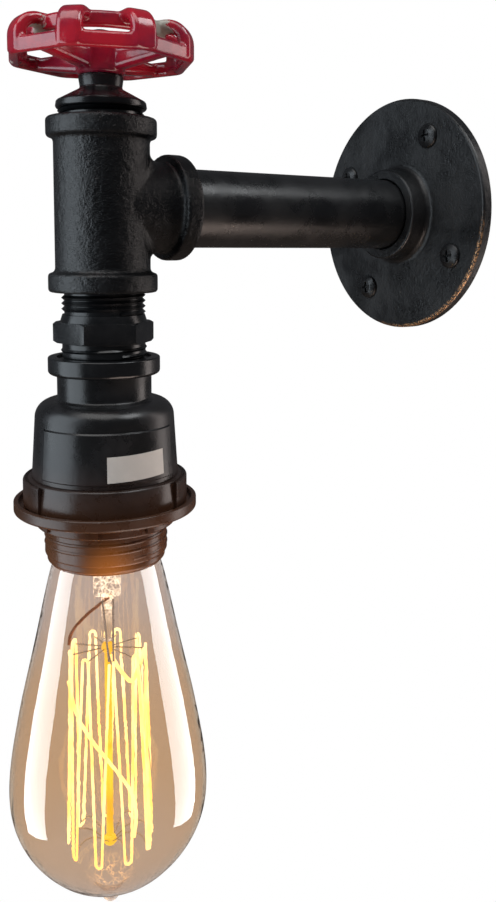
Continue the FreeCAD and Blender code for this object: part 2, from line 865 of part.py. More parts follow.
def centre_contact():
    """Springy strip and pad that meet the tip of the bulb."""
    strip = block(contact_strip_length, contact_strip_width, shell_top - contact_strip, shell_top)
    pad = turned([
        (0, contact_bottom), (contact_pad_r - 0.3, contact_bottom), (contact_pad_r, contact_bottom + 0.3),
        (contact_pad_r, shell_top - contact_strip / 2), (0, shell_top - contact_strip / 2),
    ])
    return on_lamp(fused([strip, pad]))


def terminal(side):
    """Brass terminal block on the insert, left or right, with a hole for the wire."""
    body = block(terminal_length, terminal_width, insert_top, insert_top + terminal_height)
    bore = disc(terminal_screw_r + thread_gap, insert_top, insert_top + terminal_height)
    bore.translate(FreeCAD.Vector(side * terminal_screw_shift, 0, 0))
    wire_hole = disc(wire_r + thread_gap, insert_top + terminal_height / 2, insert_top + terminal_height)
    wire_hole.translate(FreeCAD.Vector(-side * terminal_wire_shift, 0, 0))
    piece = body.cut([bore, wire_hole])
    piece.translate(FreeCAD.Vector(side * terminal_offset, 0, 0))
    return on_lamp(piece)


def line_terminal():
    """Terminal of the live wire."""
    return terminal(1)


def neutral_terminal():
    """Terminal of the neutral wire."""
    return terminal(-1)


def cheese_screw(radius, head_r, head, grip):
    """Small screw with its seat at height zero and its shank below."""
    screw = turned([
        (0, -grip), (radius, -grip), (radius, 0), (head_r, 0), (head_r, head, 0.4), (0, head),
    ])
    slot = block(2 * head_r, 0.8, head - 0.8, head + 1)
    return screw.cut(slot)


def terminal_screws():
    """Two screws through the terminals."""
    seat = insert_top + terminal_height
    grip = terminal_height + terminal_screw_grip - seat_gap
    screw = cheese_screw(terminal_screw_r, terminal_screw_head_r, terminal_screw_head, grip)
    screws = []
    for side in (-1, 1):
        copy = screw.copy()
        copy.translate(FreeCAD.Vector(side * (terminal_offset + terminal_screw_shift), 0, seat))
        screws.append(copy)
    return on_lamp(Part.makeCompound(screws))


def insert_screws():
    """Two screws that hold the insert down on the body's ledge."""
    grip = insert_height + ledge_height - seat_gap
    screw = cheese_screw(insert_screw_r, insert_screw_head_r, insert_screw_head, grip)
    screw.translate(FreeCAD.Vector(0, insert_screw_offset, insert_top))
    return on_lamp(Part.makeCompound(around(screw, 2)))


def shade_ring():
    """Ring on the sleeve's thread: plate with an upturned lip, and a ribbed boss below."""
    lip_r = ring_r - ring_lip_width
    ring = turned([
        (ring_bore_r, ring_bottom), (ring_boss_r, ring_bottom, 0.5), (ring_boss_r, ring_plate_bottom, 0.5),
        (ring_r, ring_plate_bottom, 0.8), (ring_r, ring_top + ring_lip, 0.5),
        (lip_r, ring_top + ring_lip, 0.3), (lip_r - 0.3, ring_top), (ring_bore_r, ring_top),
    ])
    rib = block(2 * ring_rib_rise, ring_rib_width, ring_bottom + 0.8, ring_plate_bottom + 0.2)
    rib.translate(FreeCAD.Vector(ring_boss_r, 0, 0))
    return on_lamp(fused([ring] + around(rib, ring_rib_count, 11)))


# Wires inside the pipe


def wire_route(side_start, height_start, lane):
    """Route of one wire from its terminal up the nipple and out along the pipe to the wall."""
    x = lane * wire_spacing
    end = ferrule_inset + ferrule_length
    back = -reach
    return [
        FreeCAD.Vector(side_start, back, height_start),
        FreeCAD.Vector(side_start, back, height_start + wire_rise),
        FreeCAD.Vector((side_start + x) / 2, back - (0.6 + lane) * wire_bow, collar_bottom + wire_bow),
        FreeCAD.Vector(x, back + wire_bow, hex_top),
        FreeCAD.Vector(x, back - wire_bow, nipple_top - 2 * wire_bow),
        FreeCAD.Vector(x, back + 3 * wire_bow, -3 * wire_bow),
        FreeCAD.Vector(x, back + 0.12 * reach, wire_bow),
        FreeCAD.Vector(x, back + 0.32 * reach, -wire_sag),
        FreeCAD.Vector(x, back + 0.56 * reach, wire_sag * (3 + lane) / 4),
        FreeCAD.Vector(x, back + 0.77 * reach, 0),
        FreeCAD.Vector(x, -end, 0),
    ]


def live_wire():
    """Live wire from its terminal to its ferrule."""
    start = terminal_offset - terminal_wire_shift
    return swept(wire_route(start, insert_top + terminal_height / 2, 1), wire_r)


def neutral_wire():
    """Neutral wire from its terminal to its ferrule."""
    start = terminal_wire_shift - terminal_offset
    return swept(wire_route(start, insert_top + terminal_height / 2, -1), wire_r)


def earth_wire():
    """Earth wire from the ring's tab to its ferrule."""
    tab_y = -reach - earth_ring_bore_r - 0.8 + earth_ring_thickness / 2 + wire_r + thread_gap
    start = nipple_top + thread_gap + earth_ring_thickness + 1.0
    back = -reach
    return swept([
        FreeCAD.Vector(0, tab_y, start),
        FreeCAD.Vector(0, tab_y, start + wire_rise),
        FreeCAD.Vector(0, back - 3 * wire_bow, start + 2 * wire_rise),
        FreeCAD.Vector(0, back + 0.08 * reach, earth_wire_lift + wire_bow),
        FreeCAD.Vector(0, back + 0.26 * reach, earth_wire_lift),
        FreeCAD.Vector(0, back + 0.51 * reach, earth_wire_lift + wire_bow),
        FreeCAD.Vector(0, back + 0.75 * reach, earth_wire_lift),
        FreeCAD.Vector(0, -ferrule_inset - ferrule_length, earth_wire_lift),
    ], wire_r)


def wire_ferrules():
    """Crimped ends of the three wires, in the bush at the wall."""
    ferrules = []
    for x, z in ((wire_spacing, 0), (-wire_spacing, 0), (0, earth_wire_lift)):
        end = tube(ferrule_r, wire_r * 0.6, ferrule_inset, ferrule_inset + ferrule_length)
        end.translate(FreeCAD.Vector(x, z, 0))
        ferrules.append(on_arm(end))
    return Part.makeCompound(ferrules)


# Bulb


def bulb_cap():
    """Brass screw cap of the bulb, open below and narrowed at its crown."""
    inner_r = bulb_cap_r - bulb_cap_wall
    return on_lamp(turned([
        (inner_r, rim), (bulb_cap_r, rim), (bulb_cap_r, crown_bottom), (bulb_crown_r, crown_top),
        (bulb_crown_r - 1.2, crown_top), (inner_r, crown_bottom - bulb_cap_wall),
    ]))


def cap_insulator():
    """Dark glass cone between the cap and the centre contact."""
    return on_lamp(turned([
        (0, crown_top - 1.0), (bulb_crown_r - 1.6, crown_top - 1.0), (bulb_crown_r - 1.6, crown_top),
        (bulb_crown_r, crown_top), (insulator_r, insulator_top), (0, insulator_top),
    ]))


def bulb_contact_piece():
    """Solder tip of the bulb."""
    return on_lamp(turned([
        (0, insulator_top), (bulb_contact_r, insulator_top), (bulb_contact_r * 0.7, bulb_top, 0.6),
        (0, bulb_top),
    ]))


def glass_side(inset):
    """Smooth outline of the glass, or of a surface that lies inset millimetres within it."""
    places = [(glass_neck_r, 0), (glass_neck_r, 0.008 * glass_length)]
    for out_ratio, down_ratio in glass_mouth_ratios + glass_flank_ratios + glass_foot_ratios:
        places.append((out_ratio * glass_belly_r, down_ratio * glass_length))
    places.append((0, glass_length))
    points = [side_plane(radius, rim - drop) for radius, drop in places]
    moved = []
    for index, point in enumerate(points):
        before = points[max(index - 1, 0)]
        after = points[min(index + 1, len(points) - 1)]
        along = (after - before).normalize()
        moved.append(point + FreeCAD.Vector(along.z, 0, -along.x) * inset)
    curve = Part.BSplineCurve()
    curve.buildFromPoles(moved)
    return curve


def bulb_glass():
    """Blown teardrop glass, widest low down, with the sealed tip at its foot."""
    outer = glass_side(0)
    inner = glass_side(glass_wall)
    neck_end = rim + glass_neck
    corners = [
        outer.StartPoint, side_plane(glass_neck_r, neck_end),
        side_plane(glass_neck_r - glass_wall, neck_end), inner.StartPoint,
    ]
    edges = [outer.toShape(), inner.toShape()]
    edges.append(Part.LineSegment(outer.EndPoint, inner.EndPoint).toShape())
    for start, end in zip(corners, corners[1:]):
        edges.append(Part.LineSegment(start, end).toShape())
    wall = Part.Face(Part.Wire(Part.__sortEdges__(edges)))
    return on_lamp(wall.revolve(centre, up, 360))


def glass_stem():
    """Flared glass stem sealed in the neck, its press, and the tube down to the upper bead."""
    flare_top = rim + glass_neck
    flare_r = glass_neck_r - glass_wall - thread_gap
    return on_lamp(turned([
        (0, flare_top), (flare_r, flare_top), (flare_r, flare_top - flare_height),
        (stem_glass_r, flare_top - flare_drop, stem_glass_r / 2), (stem_glass_r, rim - press_drop),
        (mount_tube_r, rim - press_end_drop), (mount_tube_r, upper_bead_z + bead_ball_r),
        (0, upper_bead_z + bead_ball_r),
    ]))


def glass_rod():
    """Glass rod down the middle of the cage with a bead at each end."""
    shaft = disc(rod_r, lower_bead_z, upper_bead_z)
    beads = []
    for height in (upper_bead_z, lower_bead_z):
        beads.append(Part.makeSphere(bead_ball_r, FreeCAD.Vector(0, 0, height)))
    return on_lamp(fused([shaft] + beads))


def cage_point(radius, angle, height):
    """Point of the cage by radius, angle and height."""
    turn = math.radians(angle)
    return FreeCAD.Vector(radius * math.cos(turn), radius * math.sin(turn), height)


def filament():
    """One wire that runs up and down round the cage, over upper and lower hooks."""
    step = 360 / filament_loops
    top_half = math.degrees(turn_width / 2 / upper_cage_r)
    low_half = math.degrees(turn_width / 2 / lower_cage_r)
    points = []
    for loop in range(filament_loops):
        low_angle = loop * step
        top_angle = low_angle + step / 2
        points.append(cage_point(lower_cage_r, low_angle - low_half, lower_bead_z))
        points.append(cage_point(lower_cage_r, low_angle + low_half, lower_bead_z))
        if loop < filament_loops - 1:
            points.append(cage_point(upper_cage_r, top_angle - top_half, upper_bead_z))
            points.append(cage_point(upper_cage_r, top_angle + top_half, upper_bead_z))
    first = cage_point(upper_cage_r, -step / 2 + top_half, upper_bead_z)
    last = cage_point(upper_cage_r, -step / 2 - top_half, upper_bead_z)
    return on_lamp(swept([first] + points + [last], filament_r))


def hooks(height, cage_r, first, away):
    """Fine wires from a bead out to the filament's turns, each with a bent end."""
    count = filament_loops
    step = 360 / count
    wires = []
    for index in range(count):
        angle = first + index * step
        end_r = cage_r - hook_clearance
        wires.append(rod(
            cage_point(bead_ball_r + 0.1, angle, height),
            cage_point(end_r, angle, height + away * hook_clearance),
            hook_r,
        ))
    return on_lamp(Part.makeCompound(wires))


def upper_hooks():
    """Hooks of the upper bead."""
    return hooks(upper_bead_z, upper_cage_r, 180 / filament_loops, -1)


def lower_hooks():
    """Hooks of the lower bead."""
    return hooks(lower_bead_z, lower_cage_r, 0, 1)


def lead_wires():
    """Two stiff wires from the press down to the ends of the filament."""
    leads = []
    step = 360 / filament_loops
    top_half = math.degrees(turn_width / 2 / upper_cage_r)
    for sign in (1, -1):
        angle = sign * top_half - step / 2
        end = cage_point(upper_cage_r, angle, upper_bead_z + filament_r + lead_r + thread_gap)
        start_r = mount_tube_r + lead_r + thread_gap
        start = cage_point(start_r, angle + sign * lead_spread, rim - press_end_drop - lead_r)
        leads.append(rod(start, end, lead_r))
    return on_lamp(Part.makeCompound(leads))


PIECES = {
    "wall_flange": wall_flange,
    "flange_screws": flange_screws,
    "arm_pipe": arm_pipe,
    "pipe_bush": pipe_bush,
    "tee": tee,
    "valve_bonnet": valve_bonnet,
    "stem_packing": stem_packing,
    "thrust_washer": thrust_washer_ring,
    "valve_stem": valve_stem,
    "handwheel": handwheel,
    "wheel_washer": wheel_washer,
    "wheel_nut": wheel_nut,
    "hex_nipple": hex_nipple,
    "earth_ring": earth_ring,
    "lock_collar": lock_collar,
    "holder_cap": holder_cap,
    "holder_body": holder_body,
    "shade_ring": shade_ring,
    "socket_insert": socket_insert,
    "socket_shell": socket_shell,
    "centre_contact": centre_contact,
    "line_terminal": line_terminal,
    "neutral_terminal": neutral_terminal,
    "terminal_screws": terminal_screws,
    "insert_screws": insert_screws,
    "live_wire": live_wire,
    "neutral_wire": neutral_wire,
    "earth_wire": earth_wire,
    "wire_ferrules": wire_ferrules,
    "bulb_cap": bulb_cap,
    "cap_insulator": cap_insulator,
    "bulb_contact": bulb_contact_piece,
    "bulb_glass": bulb_glass,
    "glass_stem": glass_stem,
    "glass_rod": glass_rod,
    "filament": filament,
    "upper_hooks": upper_hooks,
    "lower_hooks": lower_hooks,
    "lead_wires": lead_wires,
}

os.makedirs("parts", exist_ok=True)
for node, make in PIECES.items():
    piece = make()
    print(f"{node}: {len(piece.Solids)} solids, {piece.Volume:.0f} mm3, valid {piece.isValid()}")
    piece.exportStep(f"parts/{node}.step")
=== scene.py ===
"""Pipe wall light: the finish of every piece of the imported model, its bulb's filament, and a plain studio."""

import math

import bpy
from mathutils import Euler, Matrix, Vector


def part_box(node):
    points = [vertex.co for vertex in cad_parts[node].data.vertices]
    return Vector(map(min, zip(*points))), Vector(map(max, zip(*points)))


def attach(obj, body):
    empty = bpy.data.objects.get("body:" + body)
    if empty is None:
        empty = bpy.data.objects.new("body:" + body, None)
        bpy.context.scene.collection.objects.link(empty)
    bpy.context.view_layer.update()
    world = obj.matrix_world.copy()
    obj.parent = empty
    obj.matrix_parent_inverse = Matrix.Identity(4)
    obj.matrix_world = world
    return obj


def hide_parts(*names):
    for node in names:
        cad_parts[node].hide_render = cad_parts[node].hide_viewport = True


bl_info = {
    "name": "Pipe wall light",
    "version": (1, 0, 0),
    "blender": (4, 5, 0),
    "location": "3D View > Sidebar > Wall Light",
    "description": "Dresses the packed pipe wall light with its castings, threads, glass and filament",
    "category": "Object",
}

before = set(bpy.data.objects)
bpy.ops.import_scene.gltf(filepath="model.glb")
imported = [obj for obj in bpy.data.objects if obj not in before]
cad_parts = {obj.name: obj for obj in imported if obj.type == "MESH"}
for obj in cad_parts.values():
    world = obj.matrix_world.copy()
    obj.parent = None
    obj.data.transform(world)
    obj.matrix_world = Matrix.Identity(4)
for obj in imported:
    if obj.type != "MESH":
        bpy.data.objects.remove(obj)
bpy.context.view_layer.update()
MM = 0.001


def foot(node):
    """Lowest height of a node in millimetres."""
    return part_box(node)[0].z / MM


def head(node):
    """Highest height of a node in millimetres."""
    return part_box(node)[1].z / MM


def half_width(node):
    """Half of a node's width in millimetres."""
    low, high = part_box(node)
    return (high.x - low.x) / 2 / MM


LAMP_Y = (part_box("holder_cap")[0].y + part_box("holder_cap")[1].y) / 2
LAMP = Vector((0, LAMP_Y, 0))
AIM = LAMP + Vector((0, 0, -0.08))
TEE_HALF = head("tee")
CAP_FOOT = foot("holder_cap")
SLEEVE_FOOT = foot("holder_body")
GLASS_TOP = head("bulb_glass")
GLASS_FOOT = foot("bulb_glass")
BULB_RIM = foot("bulb_cap")
UPPER_BEAD = head("upper_hooks") - 0.5
LOWER_BEAD = foot("lower_hooks") + 0.5
CAGE_LOOPS = 9
CAMERA_BEARING = -24.7
DARK = (0, 0, 0, 1)
WHITE = (1, 1, 1, 1)


# Settings that a user would change


class WallLightSizes(bpy.types.PropertyGroup):
    """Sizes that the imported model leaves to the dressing."""

    segments: bpy.props.IntProperty(
        name="Segments", description="Sides of each turned piece", default=128, min=32, max=256)
    casting_voxel: bpy.props.FloatProperty(
        name="Casting voxel", description="Voxel size when a casting is blended into one skin",
        default=0.0005, unit="LENGTH")
    pipe_pitch: bpy.props.FloatProperty(
        name="Pipe thread pitch", description="Pitch of the three-quarter-inch pipe thread",
        default=0.001814, unit="LENGTH")
    sleeve_pitch: bpy.props.FloatProperty(
        name="Sleeve thread pitch", description="Pitch of the shade ring's thread", default=0.0026,
        unit="LENGTH")
    lamp_pitch: bpy.props.FloatProperty(
        name="Lamp thread pitch", description="Pitch of the rolled lamp thread", default=0.003629,
        unit="LENGTH")
    sticker_width: bpy.props.FloatProperty(
        name="Sticker width", description="Length of the bare sticker round the cap", default=0.0200,
        unit="LENGTH")
    sticker_height: bpy.props.FloatProperty(
        name="Sticker height", description="Height of the bare sticker", default=0.0081, unit="LENGTH")
    strand: bpy.props.FloatProperty(
        name="Strand", description="Thickness of the glowing filament", default=0.00096, unit="LENGTH")


class WallLightColours(bpy.types.PropertyGroup):
    """Colours of the finishes."""

    black: bpy.props.FloatVectorProperty(
        name="Black paint", description="Satin black of the fittings", subtype="COLOR",
        default=(0.0055, 0.0062, 0.0072), min=0, max=1)
    black_sheen: bpy.props.FloatVectorProperty(
        name="Paint patches", description="Slightly worn patches in the black", subtype="COLOR",
        default=(0.011, 0.0118, 0.013), min=0, max=1)
    red: bpy.props.FloatVectorProperty(
        name="Red enamel", description="Enamel of the handwheel", subtype="COLOR",
        default=(0.47, 0.012, 0.028), min=0, max=1)
    dark_red: bpy.props.FloatVectorProperty(
        name="Red enamel, deep", description="Thicker enamel in the hollows", subtype="COLOR",
        default=(0.22, 0.008, 0.032), min=0, max=1)
    chip: bpy.props.FloatVectorProperty(
        name="Chipped casting", description="Bare casting where the enamel is knocked off", subtype="COLOR",
        default=(0.42, 0.40, 0.34), min=0, max=1)
    copper: bpy.props.FloatVectorProperty(
        name="Worn rim", description="Bare metal along the flange's worn rim", subtype="COLOR",
        default=(0.62, 0.36, 0.18), min=0, max=1)
    phenolic: bpy.props.FloatVectorProperty(
        name="Lampholder", description="Moulded black of the lampholder", subtype="COLOR",
        default=(0.007, 0.0072, 0.0076), min=0, max=1)
    # Partly plastic browned by heat, partly the bulb's warm light painted into the lampholder's colour.
    heat_browned_and_bulb_lit: bpy.props.FloatVectorProperty(
        name="Warmed lampholder", description="Browned plastic close to the bulb", subtype="COLOR",
        default=(0.13, 0.048, 0.018), min=0, max=1)
    # Beside the filament this tint also carries the filament's glow, painted into the glass's colour.
    amber_and_painted_glow: bpy.props.FloatVectorProperty(
        name="Glass tint", description="Tint of the bulb's glass beside the filament", subtype="COLOR",
        default=(0.725, 0.57, 0.43), min=0, max=1)
    smoky: bpy.props.FloatVectorProperty(
        name="Glass tint, ends", description="Tint of the bulb's glass at its neck and foot", subtype="COLOR",
        default=(0.70, 0.61, 0.56), min=0, max=1)
    glow: bpy.props.FloatVectorProperty(
        name="Filament glow", description="Colour of the hot filament", subtype="COLOR",
        default=(1.0, 0.80, 0.36), min=0, max=1)
    # Painted glow: the glass rod is no lamp; this colour makes it glow with the filament's light.
    painted_rod_glow: bpy.props.FloatVectorProperty(
        name="Rod glow", description="Light that the glass rod takes from the filament", subtype="COLOR",
        default=(1.0, 0.78, 0.02), min=0, max=1)
    brass: bpy.props.FloatVectorProperty(
        name="Brass", description="Brass of the shells and contacts", subtype="COLOR",
        default=(0.78, 0.55, 0.24), min=0, max=1)
    sticker: bpy.props.FloatVectorProperty(
        name="Sticker", description="Bare paper sticker", subtype="COLOR",
        default=(0.50, 0.485, 0.46), min=0, max=1)


class WallLightStage(bpy.types.PropertyGroup):
    """Light and camera of the studio."""

    left_power: bpy.props.FloatProperty(
        name="Left softbox", description="Power of the large softbox on the left", default=12.0,
        subtype="POWER")
    right_power: bpy.props.FloatProperty(
        name="Right softbox", description="Power of the narrow softbox on the right", default=2.8,
        subtype="POWER")
    top_power: bpy.props.FloatProperty(
        name="Top softbox", description="Power of the softbox overhead", default=4.0, subtype="POWER")
    high_power: bpy.props.FloatProperty(
        name="High softbox", description="Power of the small softbox above the wall side", default=2.0,
        subtype="POWER")
    low_power: bpy.props.FloatProperty(
        name="Low softbox", description="Power of the warm softbox below the arm", default=2.4,
        subtype="POWER")
    strip_power: bpy.props.FloatProperty(
        name="Glass strips", description="Power of the two tall strips that only the glass mirrors",
        default=42.0, subtype="POWER")
    bulb_power: bpy.props.FloatProperty(
        name="Bulb", description="Power of the warm light inside the bulb", default=0.5, subtype="POWER")
    lens: bpy.props.FloatProperty(
        name="Lens", description="Focal length on a 36 mm sensor", default=36.23, unit="CAMERA")
    floor_drop: bpy.props.FloatProperty(
        name="Floor", description="Distance from the bulb's tip down to the floor", default=0.65,
        unit="LENGTH")


# Shaping tools shared by the pieces


def clear_selection():
    """Leave edit mode and select nothing."""
    if bpy.context.mode != "OBJECT":
        bpy.ops.object.mode_set(mode="OBJECT")
    bpy.ops.object.select_all(action="DESELECT")


def pick(piece):
    """Make one piece the only selected and active one."""
    clear_selection()
    piece.select_set(True)
    bpy.context.view_layer.objects.active = piece


def rounded(corners):
    """Points of a profile; a corner's third number is the radius of its round, all in millimetres."""
    steps = 5
    points = [Vector((corner[0], corner[1])) for corner in corners]
    path = []
    for index, point in enumerate(points):
        radius = corners[index][2] if len(corners[index]) > 2 else 0
        if not radius:
            path.append(point)
            continue
        back = (points[index - 1] - point).normalized()
        ahead = (points[(index + 1) % len(points)] - point).normalized()
        half = back.angle(ahead) / 2
        middle = point + (back + ahead).normalized() * radius / math.sin(half)
        start = point + back * radius / math.tan(half) - middle
        end = point + ahead * radius / math.tan(half) - middle
        for step in range(steps + 1):
            path.append(middle + start.slerp(end, step / steps))
    return path


def polyline(name, points, closed=False):
    """Chain of edges through points in millimetres, drawn by extruding one vertex."""
    clear_selection()
    bpy.ops.mesh.primitive_plane_add(size=MM)
    piece = bpy.context.active_object
    piece.name = name
    piece.data.name = name
    bpy.ops.object.mode_set(mode="EDIT")
    bpy.ops.mesh.merge(type="CENTER")
    bpy.ops.transform.translate(value=points[0] * MM)
    for before, after in zip(points, points[1:]):
        bpy.ops.mesh.extrude_region_move(TRANSFORM_OT_translate={"value": (after - before) * MM})
    bpy.ops.object.mode_set(mode="OBJECT")
    if closed:
        piece.data.vertices[0].select = True
        bpy.ops.object.mode_set(mode="EDIT")
        bpy.ops.mesh.edge_face_add()
        bpy.ops.object.mode_set(mode="OBJECT")
    return piece


def edit_all(piece):
    """Open a piece in edit mode with all of it selected."""
    pick(piece)
    bpy.ops.object.mode_set(mode="EDIT")
    bpy.ops.mesh.select_all(action="SELECT")


def apply_modifier(piece, kind, **settings):
    """Add a modifier with these settings and apply it."""
    pick(piece)
    bpy.ops.object.modifier_add(type=kind)
    modifier = piece.modifiers[-1]
    for key, value in settings.items():
        setattr(modifier, key, value)
    bpy.ops.object.modifier_apply(modifier=modifier.name)


def tidy_mesh(piece, outward=True, merge=0.000004):
    """Merge doubles and point the faces outwards."""
    edit_all(piece)
    bpy.ops.mesh.remove_doubles(threshold=merge)
    if outward:
        bpy.ops.mesh.normals_make_consistent(inside=False)
    bpy.ops.object.mode_set(mode="OBJECT")


def smooth(piece, angle=32):
    """Shade smooth up to an angle in degrees."""
    pick(piece)
    bpy.ops.object.shade_smooth_by_angle(angle=math.radians(angle))


def turned(name, corners, closed=True, sides=None):
    """Solid of revolution about Z from corners of (radius, height, round) in millimetres."""
    sides = sides or bpy.context.scene.wall_light_sizes.segments
    path = [Vector((max(point.x, 0.0), 0, point.y)) for point in rounded(corners)]
    piece = polyline(name, path, closed)
    apply_modifier(piece, "SCREW", steps=sides, render_steps=sides, use_merge_vertices=True,
                   merge_threshold=0.000002, use_smooth_shade=True)
    tidy_mesh(piece)
    smooth(piece)
    return piece


def sector(name, corners, first, angle):
    """Part of a turned ring between two bearings in degrees, closed at both ends."""
    path = [Vector((point.x, 0, point.y)) for point in rounded(corners)]
    piece = polyline(name, path, closed=True)
    steps = max(2, int(angle / 3))
    apply_modifier(piece, "SCREW", angle=math.radians(angle), steps=steps, render_steps=steps)
    edit_all(piece)
    bpy.ops.mesh.fill_holes(sides=0)
    bpy.ops.object.mode_set(mode="OBJECT")
    placed(piece, (0, 0, 0), first)
    tidy_mesh(piece)
    smooth(piece)
    return piece


def wire(name, points, radius):
    """Round wire through points in millimetres."""
    pick(polyline(name, points))
    bpy.ops.object.convert(target="CURVE")
    piece = bpy.context.active_object
    piece.data.bevel_depth = radius * MM
    piece.data.bevel_resolution = 2
    piece.data.use_fill_caps = True
    bpy.ops.object.convert(target="MESH")
    piece = bpy.context.active_object
    tidy_mesh(piece)
    smooth(piece, 60)
    return piece


def ridge(name, radius, height, width, rise, pitch, turns, sides=4):
    """Winding ridge of a thread: its middle radius, foot, width and rise in millimetres."""
    clear_selection()
    bpy.ops.mesh.primitive_circle_add(vertices=sides, radius=MM, rotation=(math.pi / 2, 0, 0))
    piece = bpy.context.active_object
    piece.name = name
    bpy.ops.object.transform_apply(location=False, rotation=True, scale=False)
    edit_all(piece)
    bpy.ops.transform.resize(value=(rise, 1, width / 2), center_override=(0, 0, 0))
    bpy.ops.transform.translate(value=(radius * MM, 0, height * MM))
    bpy.ops.object.mode_set(mode="OBJECT")
    steps = int(72 * turns)
    apply_modifier(piece, "SCREW", angle=2 * math.pi * turns, screw_offset=pitch * turns * MM, steps=steps,
                   render_steps=steps, use_smooth_shade=True)
    edit_all(piece)
    bpy.ops.mesh.fill_holes(sides=0)
    bpy.ops.mesh.normals_make_consistent(inside=False)
    bpy.ops.object.mode_set(mode="OBJECT")
    smooth(piece, 50)
    return piece


def joined(pieces, name):
    """One object from several, under one name."""
    clear_selection()
    for piece in pieces:
        piece.select_set(True)
    bpy.context.view_layer.objects.active = pieces[0]
    bpy.ops.object.join()
    pieces[0].name = name
    pieces[0].data.name = name
    return pieces[0]


def placed(piece, location, turn=0.0, tilt=0.0):
    """Tilt a piece about X, turn it about Z, both in degrees, move it, and put that into its mesh."""
    pick(piece)
    piece.location = location
    piece.rotation_euler = (math.radians(tilt), 0, math.radians(turn))
    bpy.ops.object.transform_apply(location=True, rotation=True, scale=True)
    return piece


def on_lamp(piece, turn=0.0):
    """Place a piece that was turned about Z on the lamp's axis."""
    return placed(piece, LAMP, turn)


def on_arm(piece):
    """Lay a piece that was turned about Z along the arm; its height becomes distance from the wall."""
    return placed(piece, (0, 0, 0), tilt=90)


def combine(piece, other, operation):
    """Change a closed shape by another one, which is used up."""
    apply_modifier(piece, "BOOLEAN", operation=operation, object=other, solver="EXACT")
    bpy.data.objects.remove(other)


def brick(size, height, turn=0.0):
    """Cube of a size in millimetres, its middle at a height over the origin."""
    clear_selection()
    bpy.ops.mesh.primitive_cube_add(size=MM)
    piece = bpy.context.active_object
    piece.scale = size
    return placed(piece, (0, 0, height * MM), turn)


def cast_skin(piece, voxel, rounds):
    """Blend a shape into one cast skin: voxel remesh, then smoothing."""
    apply_modifier(piece, "REMESH", mode="VOXEL", voxel_size=voxel, use_smooth_shade=True)
    apply_modifier(piece, "SMOOTH", factor=0.5, iterations=rounds)


def copy_of(node, name):
    """Merged copy of a node's mesh as a new piece."""
    clear_selection()
    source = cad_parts[node]
    piece = bpy.data.objects.new(name, source.data.copy())
    bpy.context.scene.collection.objects.link(piece)
    piece.data.name = name
    piece.data.materials.clear()
    tidy_mesh(piece, outward=False, merge=0.000001)
    return piece


def dress(piece, body, name, nodes=()):
    """Give a finished piece its finish, its body and the nodes that it stands for."""
    piece.data.materials.clear()
    piece.data.materials.append(finish_of(name))
    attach(piece, body)
    if nodes:
        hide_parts(*nodes)


def dress_node(node, name):
    """Give a node that stays in view its finish."""
    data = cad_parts[node].data
    data.materials.clear()
    data.materials.append(finish_of(name))


# Shader tools shared by the finishes


def feed(tree, socket, value):
    """Link a socket to what feeds it, or set its value."""
    if isinstance(value, bpy.types.NodeSocket):
        tree.links.new(value, socket)
    else:
        socket.default_value = value


def feed_all(tree, node, values):
    """Feed a node's inputs by their names, in which an underscore stands for a space."""
    for key, value in values.items():
        feed(tree, node.inputs[key.replace("_", " ")], value)


def add_node(tree, kind, settings=None, **values):
    """Shader node with settings on the node, and a link or value for each named input."""
    node = tree.nodes.new(kind)
    for key, value in (settings or {}).items():
        setattr(node, key, value)
    feed_all(tree, node, values)
    return node


def mix(tree, factor, first, second, kind="RGBA"):
    """Mix of two colours, or of two numbers with the kind FLOAT."""
    node = add_node(tree, "ShaderNodeMix", {"data_type": kind})
    first_input, output = (6, 2) if kind == "RGBA" else (2, 0)
    for index, value in ((0, factor), (first_input, first), (first_input + 1, second)):
        feed(tree, node.inputs[index], value)
    return node.outputs[output]


def sums(tree, operation, first, second=0.0, third=0.0, clamp=False):
    """Arithmetic on sockets or numbers."""
    node = add_node(tree, "ShaderNodeMath", {"operation": operation, "use_clamp": clamp})
    for index, value in enumerate((first, second, third)):
        feed(tree, node.inputs[index], value)
    return node.outputs[0]


def stretch(tree, value, low, high):
    """Map the range from low to high to 0 to 1, clamped, with soft ends."""
    node = add_node(tree, "ShaderNodeMapRange", {"interpolation_type": "SMOOTHSTEP"},
                    Value=value, From_Min=low, From_Max=high)
    return node.outputs["Result"]


def noise(tree, place, scale, detail=3.0, roughness=0.5):
    """Noise over the object's own coordinates."""
    node = add_node(tree, "ShaderNodeTexNoise", Vector=place, Scale=scale, Detail=detail, Roughness=roughness)
    return node.outputs[0]


def place_on(tree):
    """The object's own coordinates."""
    return add_node(tree, "ShaderNodeTexCoord").outputs["Object"]


def axes_of(tree, place):
    """X, Y and Z of a place."""
    return add_node(tree, "ShaderNodeSeparateXYZ", Vector=place).outputs


def distance_to(tree, place, centre):
    """Distance between two places."""
    node = add_node(tree, "ShaderNodeVectorMath", {"operation": "DISTANCE"})
    feed(tree, node.inputs[0], place)
    feed(tree, node.inputs[1], centre)
    return node.outputs["Value"]


def length_of(tree, first, second):
    """Length of the hypotenuse over two values."""
    squares = sums(tree, "ADD", sums(tree, "POWER", first, 2.0), sums(tree, "POWER", second, 2.0))
    return sums(tree, "SQRT", squares)


def new_group(name, inputs, outputs):
    """Shader group with named inputs and outputs; gives the group and the sockets at both ends."""
    group = bpy.data.node_groups.new(name, "ShaderNodeTree")
    for side, sockets in (("INPUT", inputs), ("OUTPUT", outputs)):
        for label, kind in sockets.items():
            group.interface.new_socket(name=label, in_out=side, socket_type="NodeSocket" + kind)
    given = add_node(group, "NodeGroupInput").outputs
    return group, given, add_node(group, "NodeGroupOutput").inputs


